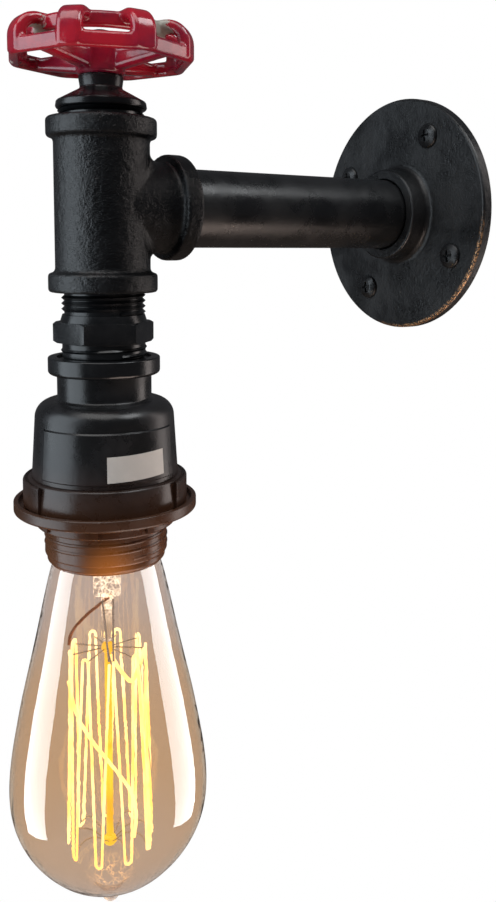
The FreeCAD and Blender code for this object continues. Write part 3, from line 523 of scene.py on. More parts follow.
def skin_group():
    """Painted or moulded skin: patchy colour, uneven gloss and a fine relief."""
    group, given, out = new_group("Skin", {
        "Colour": "Color", "Patch Colour": "Color", "Patch Scale": "Float", "Grain Scale": "Float",
        "Grain Height": "Float", "Roughness": "Float", "Roughness Change": "Float",
    }, {"Colour": "Color", "Roughness": "Float", "Normal": "Vector"})
    coarse_scale, coarse_height = 0.28, 1.4
    place = place_on(group)
    grain = noise(group, place, given["Grain Scale"], 4.0, 0.55)
    coarse = noise(group, place, sums(group, "MULTIPLY", given["Grain Scale"], coarse_scale), 2.0)
    patch = stretch(group, noise(group, place, given["Patch Scale"], 5.0, 0.6), 0.38, 0.66)
    relief = sums(group, "MULTIPLY_ADD", coarse, coarse_height, grain)
    bump = add_node(group, "ShaderNodeBump", Strength=1.0, Distance=given["Grain Height"], Height=relief)
    swing = sums(group, "SUBTRACT", sums(group, "ADD", sums(group, "MULTIPLY", grain, 0.5), patch), 0.75)
    rough = sums(group, "MULTIPLY_ADD", swing, given["Roughness Change"], given["Roughness"], clamp=True)
    feed(group, out["Colour"], mix(group, patch, given["Colour"], given["Patch Colour"]))
    feed(group, out["Roughness"], rough)
    feed(group, out["Normal"], bump.outputs["Normal"])


def region_group():
    """Mask of an object-space ball with a ragged edge, for wear in one place."""
    group, given, out = new_group("Worn Place", {
        "Centre": "Vector", "Reach": "Float", "Ragged": "Float", "Scale": "Float",
    }, {"Mask": "Float"})
    place = place_on(group)
    apart = distance_to(group, place, given["Centre"])
    near = sums(group, "SUBTRACT", 1.0, sums(group, "DIVIDE", apart, given["Reach"]))
    rag = sums(group, "SUBTRACT", noise(group, place, given["Scale"], 6.0, 0.65), 0.5)
    edge = sums(group, "MULTIPLY_ADD", sums(group, "MULTIPLY", rag, given["Ragged"]), 3.0, near)
    feed(group, out["Mask"], stretch(group, edge, 0.0, 0.12))


def group_node(tree, name, **values):
    """Shader group placed in a material with its own values."""
    return add_node(tree, "ShaderNodeGroup", {"node_tree": bpy.data.node_groups[name]}, **values)


# Kinds of finish, and wear, heat browning and painted light on top of them


def colour4(value):
    """Colour with full alpha."""
    return (*value, 1.0)


def lamp_point(radius, bearing, height):
    """Place in metres by its radius about the lamp's axis, its bearing from +X and its height."""
    turn = math.radians(bearing)
    return (radius * MM * math.cos(turn), LAMP_Y + radius * MM * math.sin(turn), height * MM)


def finish_of(name):
    """Finish by its name."""
    return bpy.data.materials[name]


def shader_of(name):
    """Node tree and shader of a finish."""
    tree = finish_of(name).node_tree
    return tree, tree.nodes["Principled BSDF"]


def new_finish(name):
    """New material with its node tree and its shader."""
    material = bpy.data.materials.new(name)
    material.use_nodes = True
    return (material, *shader_of(material.name))


def finish(name, colour, patch, roughness, change, grain, height, patches, **sockets):
    """Material with the shared skin; constant values go straight to the shader's sockets."""
    material, tree, shader = new_finish(name)
    skin = group_node(
        tree, "Skin", Colour=colour4(colour), Patch_Colour=colour4(patch or colour), Patch_Scale=patches,
        Grain_Scale=grain, Grain_Height=height, Roughness=roughness, Roughness_Change=change,
    ).outputs
    feed_all(tree, shader, {
        "Base Color": skin["Colour"], "Roughness": skin["Roughness"], "Normal": skin["Normal"], **sockets,
    })
    material.diffuse_color = colour4(colour)


def glass_finish(name, tint, index, roughness):
    """Clear glass with slight waves in its surface."""
    material, tree, shader = new_finish(name)
    waves = noise(tree, place_on(tree), 45.0, 2.0, 0.4)
    bump = add_node(tree, "ShaderNodeBump", Strength=0.35, Distance=0.0004, Height=waves)
    feed_all(tree, shader, {
        "Base Color": colour4(tint), "IOR": index, "Roughness": roughness, "Transmission Weight": 1.0,
        "Normal": bump.outputs["Normal"],
    })
    material.diffuse_color = (*tint, 0.3)


def glow_finish(name, colour, strength):
    """Glowing finish, brighter in some places than in others: the hot filament, and the painted glow of the
    glass rod.
    """
    material, tree, shader = new_finish(name)
    heat = stretch(tree, noise(tree, place_on(tree), 55.0, 3.0), 0.35, 0.65)
    cooler = (colour[0], colour[1] * 0.72, colour[2] * 0.4, 1)
    feed_all(tree, shader, {
        "Base Color": (0.05, 0.03, 0.02, 1), "Emission Strength": strength,
        "Emission Color": mix(tree, heat, cooler, colour4(colour)),
    })
    material.cycles.emission_sampling = "NONE"
    material.diffuse_color = colour4(colour)


def repaint(tree, shader, mask, colour):
    """Lay a colour over a finish's own by a mask."""
    socket = shader.inputs["Base Color"]
    base = socket.links[0].from_socket if socket.links else tuple(socket.default_value)
    feed(tree, socket, mix(tree, mask, base, colour4(colour)))


def cover(tree, shader, mask, colour, roughness, metallic=0.0):
    """Lay a colour, gloss and metal over a finish by a mask."""
    repaint(tree, shader, mask, colour)
    gloss = shader.inputs["Roughness"]
    feed(tree, gloss, mix(tree, mask, gloss.links[0].from_socket, roughness, "FLOAT"))
    if metallic:
        feed(tree, shader.inputs["Metallic"], sums(tree, "MULTIPLY", mask, metallic))


def worn_place(name, centre, reach, colour, ragged, scale, roughness):
    """Lay a ragged patch of another colour over a finish."""
    tree, shader = shader_of(name)
    place = group_node(tree, "Worn Place", Centre=centre, Reach=reach, Ragged=ragged, Scale=scale)
    cover(tree, shader, place.outputs["Mask"], colour, roughness)


def worn_edge(name, radius, depth, colour):
    """Bare metal along the part of a disc's rim that was knocked, in specks and a thin line."""
    tree, shader = shader_of(name)
    place = place_on(tree)
    across, away, height = axes_of(tree, place)
    past = sums(tree, "SUBTRACT", length_of(tree, across, height), radius)
    apart = length_of(tree, past, sums(tree, "SUBTRACT", away, depth))
    wide, sharp = 0.0011, 0.0003
    line = stretch(tree, apart, wide, sharp)
    specks = stretch(tree, noise(tree, place, 1500.0, 3.0, 0.7), 0.44, 0.62)
    right, down = 0.62, 0.78
    side = sums(tree, "SUBTRACT", sums(tree, "MULTIPLY", across, right), sums(tree, "MULTIPLY", height, down))
    where = stretch(tree, side, 0.026, 0.040)
    mask = sums(tree, "MULTIPLY", sums(tree, "MULTIPLY", line, specks), where, clamp=True)
    cover(tree, shader, mask, colour, roughness=0.35, metallic=0.8)


def paint_glow(tree, shader, mask, colour):
    """Let a masked colour glow from a finish as emission: painted light."""
    glow = mix(tree, mask, DARK, colour4(colour))
    feed_all(tree, shader, {"Emission Color": glow, "Emission Strength": 1.0})


def painted_glow_place(name, centre, reach, colour):
    """Painted glow: a warm glow near the bulb, painted as emission on the moulding in place of the bulb's light
    falling on it.
    """
    tree, shader = shader_of(name)
    paint_glow(tree, shader, stretch(tree, distance_to(tree, place_on(tree), centre), reach, 0.0), colour)


def painted_glints(name, centre, reach, scale, width, colour):
    """Painted glints: crinkled bright lines that glow in the glass, where it would bend the filament's light.
    """
    tree, shader = shader_of(name)
    place = place_on(tree)
    near = stretch(tree, distance_to(tree, place, centre), reach, reach * 0.4)
    off = sums(tree, "ABSOLUTE", sums(tree, "SUBTRACT", noise(tree, place, scale, 2.0), 0.5))
    paint_glow(tree, shader, sums(tree, "MULTIPLY", near, stretch(tree, off, width, 0.0)), colour)


def glow_tint_by_height(name, ends):
    """Real tint of the glass, warmer beside the filament than at the neck and foot: the filament's glow painted
    into the tint.
    """
    tree, shader = shader_of(name)
    middle = (UPPER_BEAD + LOWER_BEAD) / 2 * MM
    height = axes_of(tree, place_on(tree))["Z"]
    off = sums(tree, "ABSOLUTE", sums(tree, "SUBTRACT", height, middle))
    repaint(tree, shader, stretch(tree, off, 0.022, 0.050), ends)


def heat_and_glow_by_height(name, heat_browned_and_bulb_lit):
    """Brown a finish towards the bulb, the lower the browner: plastic browned by heat, with the bulb's warm
    light painted into the colour as well.
    """
    tree, shader = shader_of(name)
    place = place_on(tree)
    ragged = sums(tree, "MULTIPLY_ADD", noise(tree, place, 90.0, 4.0), 0.006, axes_of(tree, place)["Z"])
    repaint(tree, shader, stretch(tree, ragged, CAP_FOOT * MM + 0.012, SLEEVE_FOOT * MM), heat_browned_and_bulb_lit)


def make_finishes():
    """Finishes of every visible piece."""
    colours = bpy.context.scene.wall_light_colours
    skin_group()
    region_group()
    # Numbers of each finish: roughness and its change, grain's scale and height, patches' scale
    for name, *values in (
        ("Black Casting", 0.25, 0.10, 1700, 0.00026, 70),
        ("Black Turned", 0.24, 0.10, 2200, 0.00003, 90),
        ("Black Pipe", 0.3, 0.14, 1800, 0.00003, 60),
        ("Black Flange", 0.38, 0.2, 1100, 0.0001, 50),
        ("Black Screw", 0.3, 0.15, 2000, 0.00004, 200),
    ):
        finish(name, colours.black, colours.black_sheen, *values)
    finish("Red Enamel", colours.red, colours.dark_red, 0.2, 0.12, 420, 0.00012, 45,
           Coat_Weight=0.5, Coat_Roughness=0.06, Specular_IOR_Level=0.6)
    for name, *values in (
        ("Valve Steel", (0.30, 0.29, 0.28), (0.17, 0.16, 0.15), 0.32, 0.2, 1500, 0.00004, 160),
        ("Screw Steel", (0.38, 0.37, 0.36), (0.24, 0.23, 0.22), 0.3, 0.15, 1800, 0.00003, 200),
        ("Contact Brass", colours.brass, (0.60, 0.40, 0.17), 0.28, 0.15, 1500, 0.00003, 150),
        ("Cap Brass", (0.80, 0.60, 0.30), (0.66, 0.46, 0.20), 0.24, 0.14, 1300, 0.00003, 150),
        ("Tin", (0.62, 0.62, 0.60), (0.50, 0.50, 0.48), 0.35, 0.15, 1800, 0.00004, 250),
        ("Hook Wire", (0.46, 0.40, 0.34), None, 0.3, 0.1, 2500, 0.00001, 300),
        ("Lead Wire", (0.36, 0.15, 0.06), (0.20, 0.08, 0.03), 0.3, 0.12, 1500, 0.00003, 200),
    ):
        finish(name, *values, Metallic=1.0)
    for name, *values in (
        ("Phenolic", colours.phenolic, (0.016, 0.016, 0.0175), 0.29, 0.10, 1500, 0.00003, 80),
        ("Steatite", (0.72, 0.70, 0.64), (0.62, 0.59, 0.52), 0.5, 0.1, 1200, 0.00005, 120),
        ("Fibre", (0.33, 0.12, 0.07), (0.24, 0.08, 0.05), 0.7, 0.1, 1500, 0.00008, 150),
        ("Bush Plastic", (0.05, 0.05, 0.055), (0.07, 0.07, 0.07), 0.45, 0.1, 1200, 0.00004, 120),
        ("Wire Brown", (0.14, 0.055, 0.025), None, 0.4, 0.1, 900, 0.00003, 90),
        ("Wire Blue", (0.02, 0.10, 0.42), None, 0.4, 0.1, 900, 0.00003, 90),
        ("Wire Green", (0.05, 0.30, 0.06), (0.62, 0.55, 0.04), 0.4, 0.1, 900, 0.00003, 90),
        ("Sticker", colours.sticker, (0.55, 0.53, 0.50), 0.62, 0.12, 1600, 0.00003, 140),
    ):
        finish(name, *values)
    finish("Black Glass", (0.01, 0.01, 0.012), None, 0.12, 0.05, 900, 0.00002, 120, Coat_Weight=0.4)
    glass_finish("Amber Glass", colours.amber_and_painted_glow, index=1.47, roughness=0.0)
    # Painted glow: the glass is warmer beside the filament and plainer at its neck and foot.
    glow_tint_by_height("Amber Glass", colours.smoky)
    glass_finish("Stem Glass", (0.97, 0.93, 0.86), index=1.50, roughness=0.02)
    # Painted glints: sparkle in the pressed stem and caustics at the glass tip, painted as glow.
    painted_glints("Stem Glass", lamp_point(0, 0, GLASS_TOP - 21), 0.016, 420.0, 0.10, (1.0, 0.86, 0.66))
    painted_glints("Amber Glass", lamp_point(0, 0, GLASS_FOOT + 5), 0.013, 330.0, 0.03, (0.85, 0.50, 0.16))
    glow_finish("Carbon", colours.glow, strength=3.2)
    # Painted glow: the glass rod glows as if lit from inside by the filament.
    glow_finish("Lit Rod", colours.painted_rod_glow, strength=1.5)
    # Browner towards the bulb: heat browning together with the bulb's light painted into the colour.
    heat_and_glow_by_height("Phenolic", colours.heat_browned_and_bulb_lit)
    # Painted glow of the bulb's warm light on the foot of the sleeve.
    painted_glow_place("Phenolic", lamp_point(19.5, -22, SLEEVE_FOOT + 1.0), 0.012, (0.27, 0.082, 0.012))
    worn_edge("Black Flange", half_width("wall_flange") * MM - 0.0005, -0.0040, colours.copper)
    for bearing, height in ((-92, 54.0), (38, 53.0)):
        worn_place("Red Enamel", lamp_point(19.5, bearing, height), 0.0052, colours.chip, 0.7, 700, 0.55)
    for bearing, height in ((-118, 44.6), (70, 44.6)):
        worn_place("Red Enamel", lamp_point(29.5, bearing, height), 0.0024, (0.75, 0.66, 0.62), 0.5, 900, 0.5)


NODE_FINISHES = {
    "Black Flange": ["wall_flange"],
    "Black Pipe": ["arm_pipe"],
    "Black Turned": ["lock_collar"],
    "Bush Plastic": ["pipe_bush"],
    "Fibre": ["stem_packing"],
    "Valve Steel": ["valve_stem", "wheel_washer", "wheel_nut"],
    "Contact Brass": ["thrust_washer", "centre_contact", "line_terminal", "neutral_terminal"],
    "Tin": ["earth_ring", "wire_ferrules", "bulb_contact"],
    "Phenolic": ["holder_cap", "shade_ring"],
    "Steatite": ["socket_insert"],
    "Screw Steel": ["terminal_screws", "insert_screws"],
    "Wire Brown": ["live_wire"],
    "Wire Blue": ["neutral_wire"],
    "Wire Green": ["earth_wire"],
    "Black Glass": ["cap_insulator"],
    "Amber Glass": ["bulb_glass"],
    "Lit Rod": ["glass_rod"],
    "Hook Wire": ["upper_hooks", "lead_wires"],
}


# Operators: one for each piece or group of pieces, and one for the stage


class WALLLIGHT_OT_finishes(bpy.types.Operator):
    """Make the finishes and dress the nodes that stay in view"""

    bl_idname = "wall_light.finishes"
    bl_label = "Finishes"

    def execute(self, context):
        make_finishes()
        for name, nodes in NODE_FINISHES.items():
            for node in nodes:
                dress_node(node, name)
        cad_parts["bulb_glass"].visible_shadow = False
        return {"FINISHED"}


class WALLLIGHT_OT_flange_screws(bpy.types.Operator):
    """Pan-head wood screws with cross recesses in the flange"""

    bl_idname = "wall_light.flange_screws"
    bl_label = "Flange Screws"

    def execute(self, context):
        plate, head_height, head_r, shank_r, circle_r, first = 4.3, 2.2, 4.7, 2.3, 33.6, 61.7
        top = plate + head_height
        screw = turned("flange_screw_set", [
            (0, top), (2.6, top, 1.2), (head_r, plate + 0.9, 1.0), (head_r, plate + 0.05), (shank_r, plate),
            (1.75, plate - 3.0), (1.6, -8.5), (0, -11.6),
        ], closed=False, sides=48)
        recess = placed(cross_recess(length=5.2, width=1.15, depth=1.7), (0, 0, (top - 1.4) * MM), 35)
        combine(screw, recess, "DIFFERENCE")
        smooth(screw)
        thread = ridge("screw_thread", radius=1.72, height=-9.4, width=0.8, rise=0.42, pitch=1.5, turns=7)
        screw = placed(joined([screw, thread], "flange_screw_set"), (circle_r * MM, 0, 0))
        ring = on_arm(ring_of(screw, 4, first))
        dress(ring, "fixture", "Black Screw", ["flange_screws"])
        return {"FINISHED"}


def cross_recess(length, width, depth):
    """Tool for a cross recess that narrows downwards, its foot at height zero, in millimetres."""
    bars = []
    for turn in (0, 90):
        bar = brick((length, width, depth), depth / 2, turn)
        select_where(bar, lambda point: point.z < 0.0001 * MM)
        bpy.ops.object.mode_set(mode="EDIT")
        bpy.ops.transform.resize(value=(0.55, 0.55, 1), center_override=(0, 0, 0))
        bpy.ops.object.mode_set(mode="OBJECT")
        bars.append(bar)
    combine(bars[0], bars[1], "UNION")
    return bars[0]


def select_where(piece, test):
    """Select the vertices whose place passes a test."""
    pick(piece)
    bpy.ops.object.mode_set(mode="EDIT")
    bpy.ops.mesh.select_mode(type="VERT")
    bpy.ops.mesh.select_all(action="DESELECT")
    bpy.ops.object.mode_set(mode="OBJECT")
    for vertex in piece.data.vertices:
        vertex.select = test(vertex.co)


def ring_of(piece, count, first):
    """Piece repeated evenly about Z, as one object."""
    name = piece.name
    pieces = [piece]
    for index in range(1, count):
        pick(piece)
        bpy.ops.object.duplicate()
        pieces.append(bpy.context.active_object)
    for index, item in enumerate(pieces):
        placed(item, (0, 0, 0), first + 360 * index / count)
    return joined(pieces, name)


class WALLLIGHT_OT_tee(bpy.types.Operator):
    """Tee as one malleable casting with blended beads"""

    bl_idname = "wall_light.tee"
    bl_label = "Tee"

    def execute(self, context):
        casting = copy_of("tee", "tee_casting")
        cast_skin(casting, 0.0006, 3)
        dress(casting, "fixture", "Black Casting", ["tee"])
        return {"FINISHED"}


class WALLLIGHT_OT_bonnet(bpy.types.Operator):
    """Bonnet with its thread, lip, cone and neck"""

    bl_idname = "wall_light.bonnet"
    bl_label = "Bonnet"

    def execute(self, context):
        rim, lip, shoulder, neck_top = TEE_HALF, TEE_HALF + 3.4, 30.2, 40.7
        bore_r, thread_r, lip_r, neck_r, stem_r = 9.0, 13.1, 13.8, 6.65, 4.08
        body = turned("bonnet_body", [
            (bore_r, rim - 13.0), (12.3, rim - 13.0), (thread_r, rim - 12.2), (thread_r, rim),
            (12.9, rim + 0.1), (12.9, lip - 0.5, 0.2), (lip_r, lip, 0.3), (lip_r, lip + 1.3, 0.45),
            (neck_r, lip + 5.7, 1.1), (neck_r, neck_top, 0.5), (stem_r, neck_top), (stem_r, shoulder),
            (bore_r, shoulder),
        ])
        pitch = context.scene.wall_light_sizes.pipe_pitch / MM
        thread = ridge("bonnet_thread", thread_r, rim + 0.9, width=1.6, rise=0.75, pitch=pitch, turns=1.35)
        on_lamp(joined([body, thread], "bonnet_body"), 40)
        dress(body, "fixture", "Black Turned", ["valve_bonnet"])
        return {"FINISHED"}


class WALLLIGHT_OT_handwheel(bpy.types.Operator):
    """Handwheel as one lobed casting under enamel"""

    bl_idname = "wall_light.handwheel"
    bl_label = "Handwheel"

    def execute(self, context):
        casting = copy_of("handwheel", "handwheel_casting")
        cast_skin(casting, context.scene.wall_light_sizes.casting_voxel, 4)
        dress(casting, "wheel", "Red Enamel", ["handwheel"])
        return {"FINISHED"}


class WALLLIGHT_OT_nipple(bpy.types.Operator):
    """Hex nipple with its cut threads"""

    bl_idname = "wall_light.nipple"
    bl_label = "Nipple"

    def execute(self, context):
        bore_r, thread_r, groove_r, neck_r = 9.5, 13.1, 12.7, 13.55
        hex_top, hex_middle, hex_foot, corner_r = -37.1, -40.6, -44.1, 16.51
        core = turned("nipple_body", [
            (bore_r, -14.8), (12.3, -14.8), (thread_r, -15.6), (thread_r, -TEE_HALF + 0.1),
            (groove_r, -TEE_HALF - 0.1), (groove_r, -34.8), (13.4, -34.9), (14.1, hex_top), (14.1, -44.0),
            (neck_r, -44.2), (neck_r, -48.6), (thread_r, -48.8), (thread_r, -60.5), (12.3, -61.3),
            (bore_r, -61.3),
        ])
        clear_selection()
        bpy.ops.mesh.primitive_cylinder_add(vertices=6, radius=corner_r * MM, depth=6.8 * MM)
        prism = bpy.context.active_object
        prism.name = "nipple_hexagon"
        placed(prism, (0, 0, hex_middle * MM), 43)
        barrel = turned("nipple_barrel", [
            (0, hex_top), (15.3, hex_top), (16.6, -37.9), (16.6, -43.3), (15.3, hex_foot), (0, hex_foot),
        ], closed=False)
        combine(prism, barrel, "INTERSECT")
        apply_modifier(prism, "BEVEL", width=0.25 * MM, segments=3, limit_method="ANGLE",
                       angle_limit=math.radians(35))
        smooth(prism)
        bore = turned("nipple_bore", [(0, -36), (13, -36), (13, -45), (0, -45)], closed=False)
        combine(prism, bore, "DIFFERENCE")
        pitch = context.scene.wall_light_sizes.pipe_pitch / MM
        upper = ridge("nipple_thread", 12.75, -34.4, width=1.7, rise=0.9, pitch=pitch, turns=3.6)
        lower = ridge("nipple_neck_thread", 13.6, -47.9, width=1.2, rise=0.42, pitch=1.9, turns=1.6)
        on_lamp(joined([core, prism, upper, lower], "nipple_body"))
        dress(core, "fixture", "Black Turned", ["hex_nipple"])
        return {"FINISHED"}


class WALLLIGHT_OT_lampholder(bpy.types.Operator):
    """Lampholder's body with its ring thread, and its rolled shell"""

    bl_idname = "wall_light.lampholder"
    bl_label = "Lampholder"

    def execute(self, context):
        sizes = context.scene.wall_light_sizes
        skirt_r, skirt_foot, pad_r, sleeve_r, bore_r = 25.75, -97.2, 26.2, 19.75, 18.3
        body = turned("holder_sleeve", [
            (19.5, -80.0), (21.45, -80.0), (21.45, CAP_FOOT), (skirt_r, CAP_FOOT, 1.2),
            (skirt_r, skirt_foot, 0.5), (24.0, skirt_foot), (24.0, -89.6), (sleeve_r, -89.6),
            (sleeve_r, -113.6, 0.4), (19.3, -114.2), (19.5, SLEEVE_FOOT, 0.8), (bore_r, SLEEVE_FOOT, 0.3),
            (bore_r, -87.4), (15.3, -87.4), (15.3, -85.4), (19.5, -85.4),
        ])
        pitch = sizes.sleeve_pitch / MM
        thread = ridge("sleeve_thread", 19.8, -112.2, width=1.5, rise=0.72, pitch=pitch, turns=4.9, sides=8)
        pads = [sector("skirt_pad", [
            (24.6, -96.8), (25.8, -96.8), (pad_r, -96.4, 0.15), (pad_r, CAP_FOOT - 1.3, 0.15),
            (25.8, CAP_FOOT - 1.1), (24.6, CAP_FOOT - 1.1),
        ], first, 72) for first in (32, 212)]
        on_lamp(joined([body, thread] + pads, "holder_sleeve"))
        dress(body, "fixture", "Phenolic", ["holder_body"])
        shell_r, shell_top, shell_foot = 13.55, -85.8, -110.4
        shell = turned("socket_shell_rolled", [
            (7.4, -86.2), (13.2, -86.2), (13.2, shell_foot), (shell_r, shell_foot), (shell_r, shell_top, 0.3),
            (7.4, shell_top),
        ])
        pitch = sizes.lamp_pitch / MM
        roll = ridge("shell_roll", 13.5, -108.6, width=2.2, rise=0.34, pitch=pitch, turns=5.5, sides=8)
        on_lamp(joined([shell, roll], "socket_shell_rolled"))
        dress(shell, "fixture", "Contact Brass", ["socket_shell"])
        return {"FINISHED"}


class WALLLIGHT_OT_sticker(bpy.types.Operator):
    """Bare sticker on the lampholder's cap"""

    bl_idname = "wall_light.sticker"
    bl_label = "Sticker"

    def execute(self, context):
        sizes = context.scene.wall_light_sizes
        foot_z, foot_r, panel_r, draft, climb = -85.6, 24.45, 24.05, 0.0643, 0.0007
        height = sizes.sticker_height / MM
        sweep = sizes.sticker_width / MM / panel_r
        label = polyline("sticker", [
            Vector((foot_r, 0, foot_z)), Vector((foot_r - height * draft, 0, foot_z + height)),
        ])
        apply_modifier(label, "SCREW", angle=sweep, screw_offset=climb, steps=40, render_steps=40)
        apply_modifier(label, "SOLIDIFY", thickness=0.12 * MM, offset=0)
        tidy_mesh(label)
        smooth(label)
        on_lamp(label, -23.6)
        dress(label, "fixture", "Sticker")
        return {"FINISHED"}


class WALLLIGHT_OT_bulb(bpy.types.Operator):
    """Bulb's rolled cap and its pressed stem"""

    bl_idname = "wall_light.bulb"
    bl_label = "Bulb"

    def execute(self, context):
        pitch = context.scene.wall_light_sizes.lamp_pitch / MM
        cap_r, inside_r, crown = 12.5, 12.1, BULB_RIM + 20.6
        cap = turned("bulb_cap_rolled", [
            (inside_r, BULB_RIM), (cap_r, BULB_RIM), (cap_r, crown, 0.6), (9.0, crown + 1.8),
            (7.8, crown + 1.8), (inside_r, crown - 0.4, 0.3),
        ])
        roll = ridge("cap_roll", 12.45, BULB_RIM + 3.4, width=2.3, rise=0.62, pitch=pitch, turns=4.2, sides=8)
        on_lamp(joined([cap, roll], "bulb_cap_rolled"))
        dress(cap, "bulb", "Cap Brass", ["bulb_cap"])
        top, tube_r, tube_top = GLASS_TOP, 2.1, GLASS_TOP - 25.0
        flare = turned("stem_flare", [
            (11.2, top), (11.2, top - 0.9), (4.4, top - 8.2, 3.0), (4.0, top - 14.0), (3.0, top - 14.0),
            (3.4, top - 8.0, 3.0), (9.9, top),
        ])
        press = brick((9.4, 4.0, 13.0), top - 19.5)
        apply_modifier(press, "BEVEL", width=1.7 * MM, segments=5)
        smooth(press)
        tube = turned("stem_tube", [
            (0, tube_top), (tube_r, tube_top), (tube_r, UPPER_BEAD + 3.2, 0.8), (0, UPPER_BEAD + 2.2),
        ], closed=False, sides=48)
        stem = on_lamp(joined([flare, press, tube], "stem_pressed"), 60)
        dress(stem, "bulb", "Stem Glass", ["glass_stem"])
        return {"FINISHED"}


class WALLLIGHT_OT_filament(bpy.types.Operator):
    """Glowing cage filament with its slack strands, and the bent wires of its lower bead"""

    bl_idname = "wall_light.filament"
    bl_label = "Filament"

    def execute(self, context):
        radius = context.scene.wall_light_sizes.strand / MM / 2
        cage = wire("filament_strands", cage_route(), radius)
        strands = on_lamp(joined([cage] + slack_strands(radius), "filament_strands"))
        lead = on_lamp(wire("thick_lead", eased([
            cage_point(1.6, 65, UPPER_BEAD + 19.5), cage_point(1.0, -60, UPPER_BEAD + 17.5),
            cage_point(7.0, -112, UPPER_BEAD + 12.5), cage_point(12.4, -114.7, UPPER_BEAD + 6.5),
            cage_point(13.0, -114.0, UPPER_BEAD + 2.0),
        ]), 0.55))
        dress(lead, "bulb", "Lead Wire")
        dress(strands, "bulb", "Carbon", ["filament"])
        ribs = on_lamp(joined([lower_rib(index) for index in range(CAGE_LOOPS)], "lower_ribs"))
        dress(ribs, "bulb", "Hook Wire", ["lower_hooks"])
        return {"FINISHED"}


def slack_strands(radius):
    """Loose strand that slants across the cage, and the loop that hangs at its top."""
    strand = [
        cage_point(13.4, -108, -160), cage_point(12.0, -96, -170), cage_point(11.0, -62, -177),
        cage_point(11.0, -14, -188), cage_point(12.0, 14, -197), cage_point(12.6, 22, -206),
        cage_point(12.4, 16, -214),
    ]
    loop = [
        cage_point(3.0, -10, -151), cage_point(7.0, 20, -157), cage_point(9.0, 34, -161),
        cage_point(10.5, 48, -157.5), cage_point(12.6, 60, -150),
    ]
    return [wire("slack_strand", eased(strand), radius * 1.25), wire("slack_loop", eased(loop), radius * 1.4)]


def lower_rib(index):
    """Arched wire from the lower bead to the foot of one loop."""
    angle = index * 360 / CAGE_LOOPS
    points = eased([
        cage_point(1.9, angle, LOWER_BEAD), cage_point(6.0, angle, LOWER_BEAD + 3.5),
        cage_point(11.0, angle, LOWER_BEAD + 4.5), cage_point(14.2, angle, LOWER_BEAD + 0.4),
    ])
    return wire(f"lower_rib_{index}", points, 0.17)


def cage_point(radius, bearing, height):
    """Point of the cage in millimetres by radius, bearing and height."""
    turn = math.radians(bearing)
    return Vector((radius * math.cos(turn), radius * math.sin(turn), height))


def eased(points):
    """Softer line through a few points: its corners are cut three times, its ends kept."""
    for _ in range(3):
        line = [points[0]]
        for before, after in zip(points, points[1:]):
            line.append(before.lerp(after, 0.25))
            line.append(before.lerp(after, 0.75))
        line.append(points[-1])
        points = line
    return points


def cage_route():
    """Line of the filament: up and down round the cage, with a small bend over every hook."""
    upper_r, lower_r, bend, sway, rhythm = 12.8, 14.6, 1.1, 0.5, 2.4
    step = 360 / CAGE_LOOPS
    points = []
    for index in range(2 * CAGE_LOOPS - 1):
        at_top = index % 2 == 1
        radius, height, sign = (upper_r, UPPER_BEAD, 1) if at_top else (lower_r, LOWER_BEAD, -1)
        half = math.degrees(bend / radius)
        for part in range(5):
            turn = math.pi * part / 4
            bearing = index * step / 2 - half * math.cos(turn)
            points.append(cage_point(radius, bearing, height + sign * bend * math.sin(turn)))
        if index < 2 * CAGE_LOOPS - 2:
            radius = (upper_r + lower_r) / 2 + sway * math.sin(index * rhythm)
            points.append(cage_point(radius, (index + 0.5) * step / 2, (UPPER_BEAD + LOWER_BEAD) / 2))
    start = cage_point(upper_r, -step / 2 + 3, UPPER_BEAD)
    end = cage_point(upper_r, -step / 2 - 3, UPPER_BEAD)
    return [start] + points + [end]


class WALLLIGHT_OT_stage(bpy.types.Operator):
    """Camera, softboxes and pale ground"""

    bl_idname = "wall_light.stage"
    bl_label = "Stage"

    def execute(self, context):
        settings = context.scene.wall_light_stage
        make_world(context.scene)
        make_ground(settings)
        glass = [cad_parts["bulb_glass"]]
        flagged = glass + [bpy.data.objects["tee_casting"], bpy.data.objects["bonnet_body"]]
        for name, place, width, height, power, colour, kept_off in (
            ("softbox_left", (-101, 4, 0.95), 0.9, 1.6, settings.left_power, (0.82, 0.92, 1.0), glass),
            ("softbox_right", (76, 4, 0.9), 0.34, 1.1, settings.right_power, (1.0, 0.90, 0.86), glass),
            ("softbox_top", (-50, 66, 1.0), 0.9, 0.6, settings.top_power, (1.0, 0.99, 0.98), glass),
            ("softbox_high", (34, 52, 0.8), 0.4, 0.3, settings.high_power, (0.95, 0.98, 1.0), flagged),
            ("softbox_low", (26, -50, 0.6), 0.5, 0.4, settings.low_power, (1.0, 0.80, 0.70), flagged),
        ):
            linked(softbox(name, place, width, height, power, colour), kept_off, "EXCLUDE")
        for name, aside, width in (("strip_left", -91, 0.52), ("strip_right", 95, 0.58)):
            place = (CAMERA_BEARING + aside, 10, 0.75)
            strip = softbox(name, place, width, 2.2, settings.strip_power, (1.0, 1.0, 1.0))
            linked(strip, glass, "INCLUDE")
        bulb_light(settings)
        make_camera(context.scene, settings)
        context.scene.view_settings.view_transform = "Standard"
        return {"FINISHED"}


def light(name, kind, spot, power, colour):
    """Light that neither the camera nor a ray through glass sees."""
    clear_selection()
    bpy.ops.object.light_add(type=kind, location=spot)
    lamp = bpy.context.active_object
    lamp.name = name
    lamp.data.energy = power
    lamp.data.color = colour
    lamp.visible_camera = False
    lamp.visible_transmission = False
    return lamp


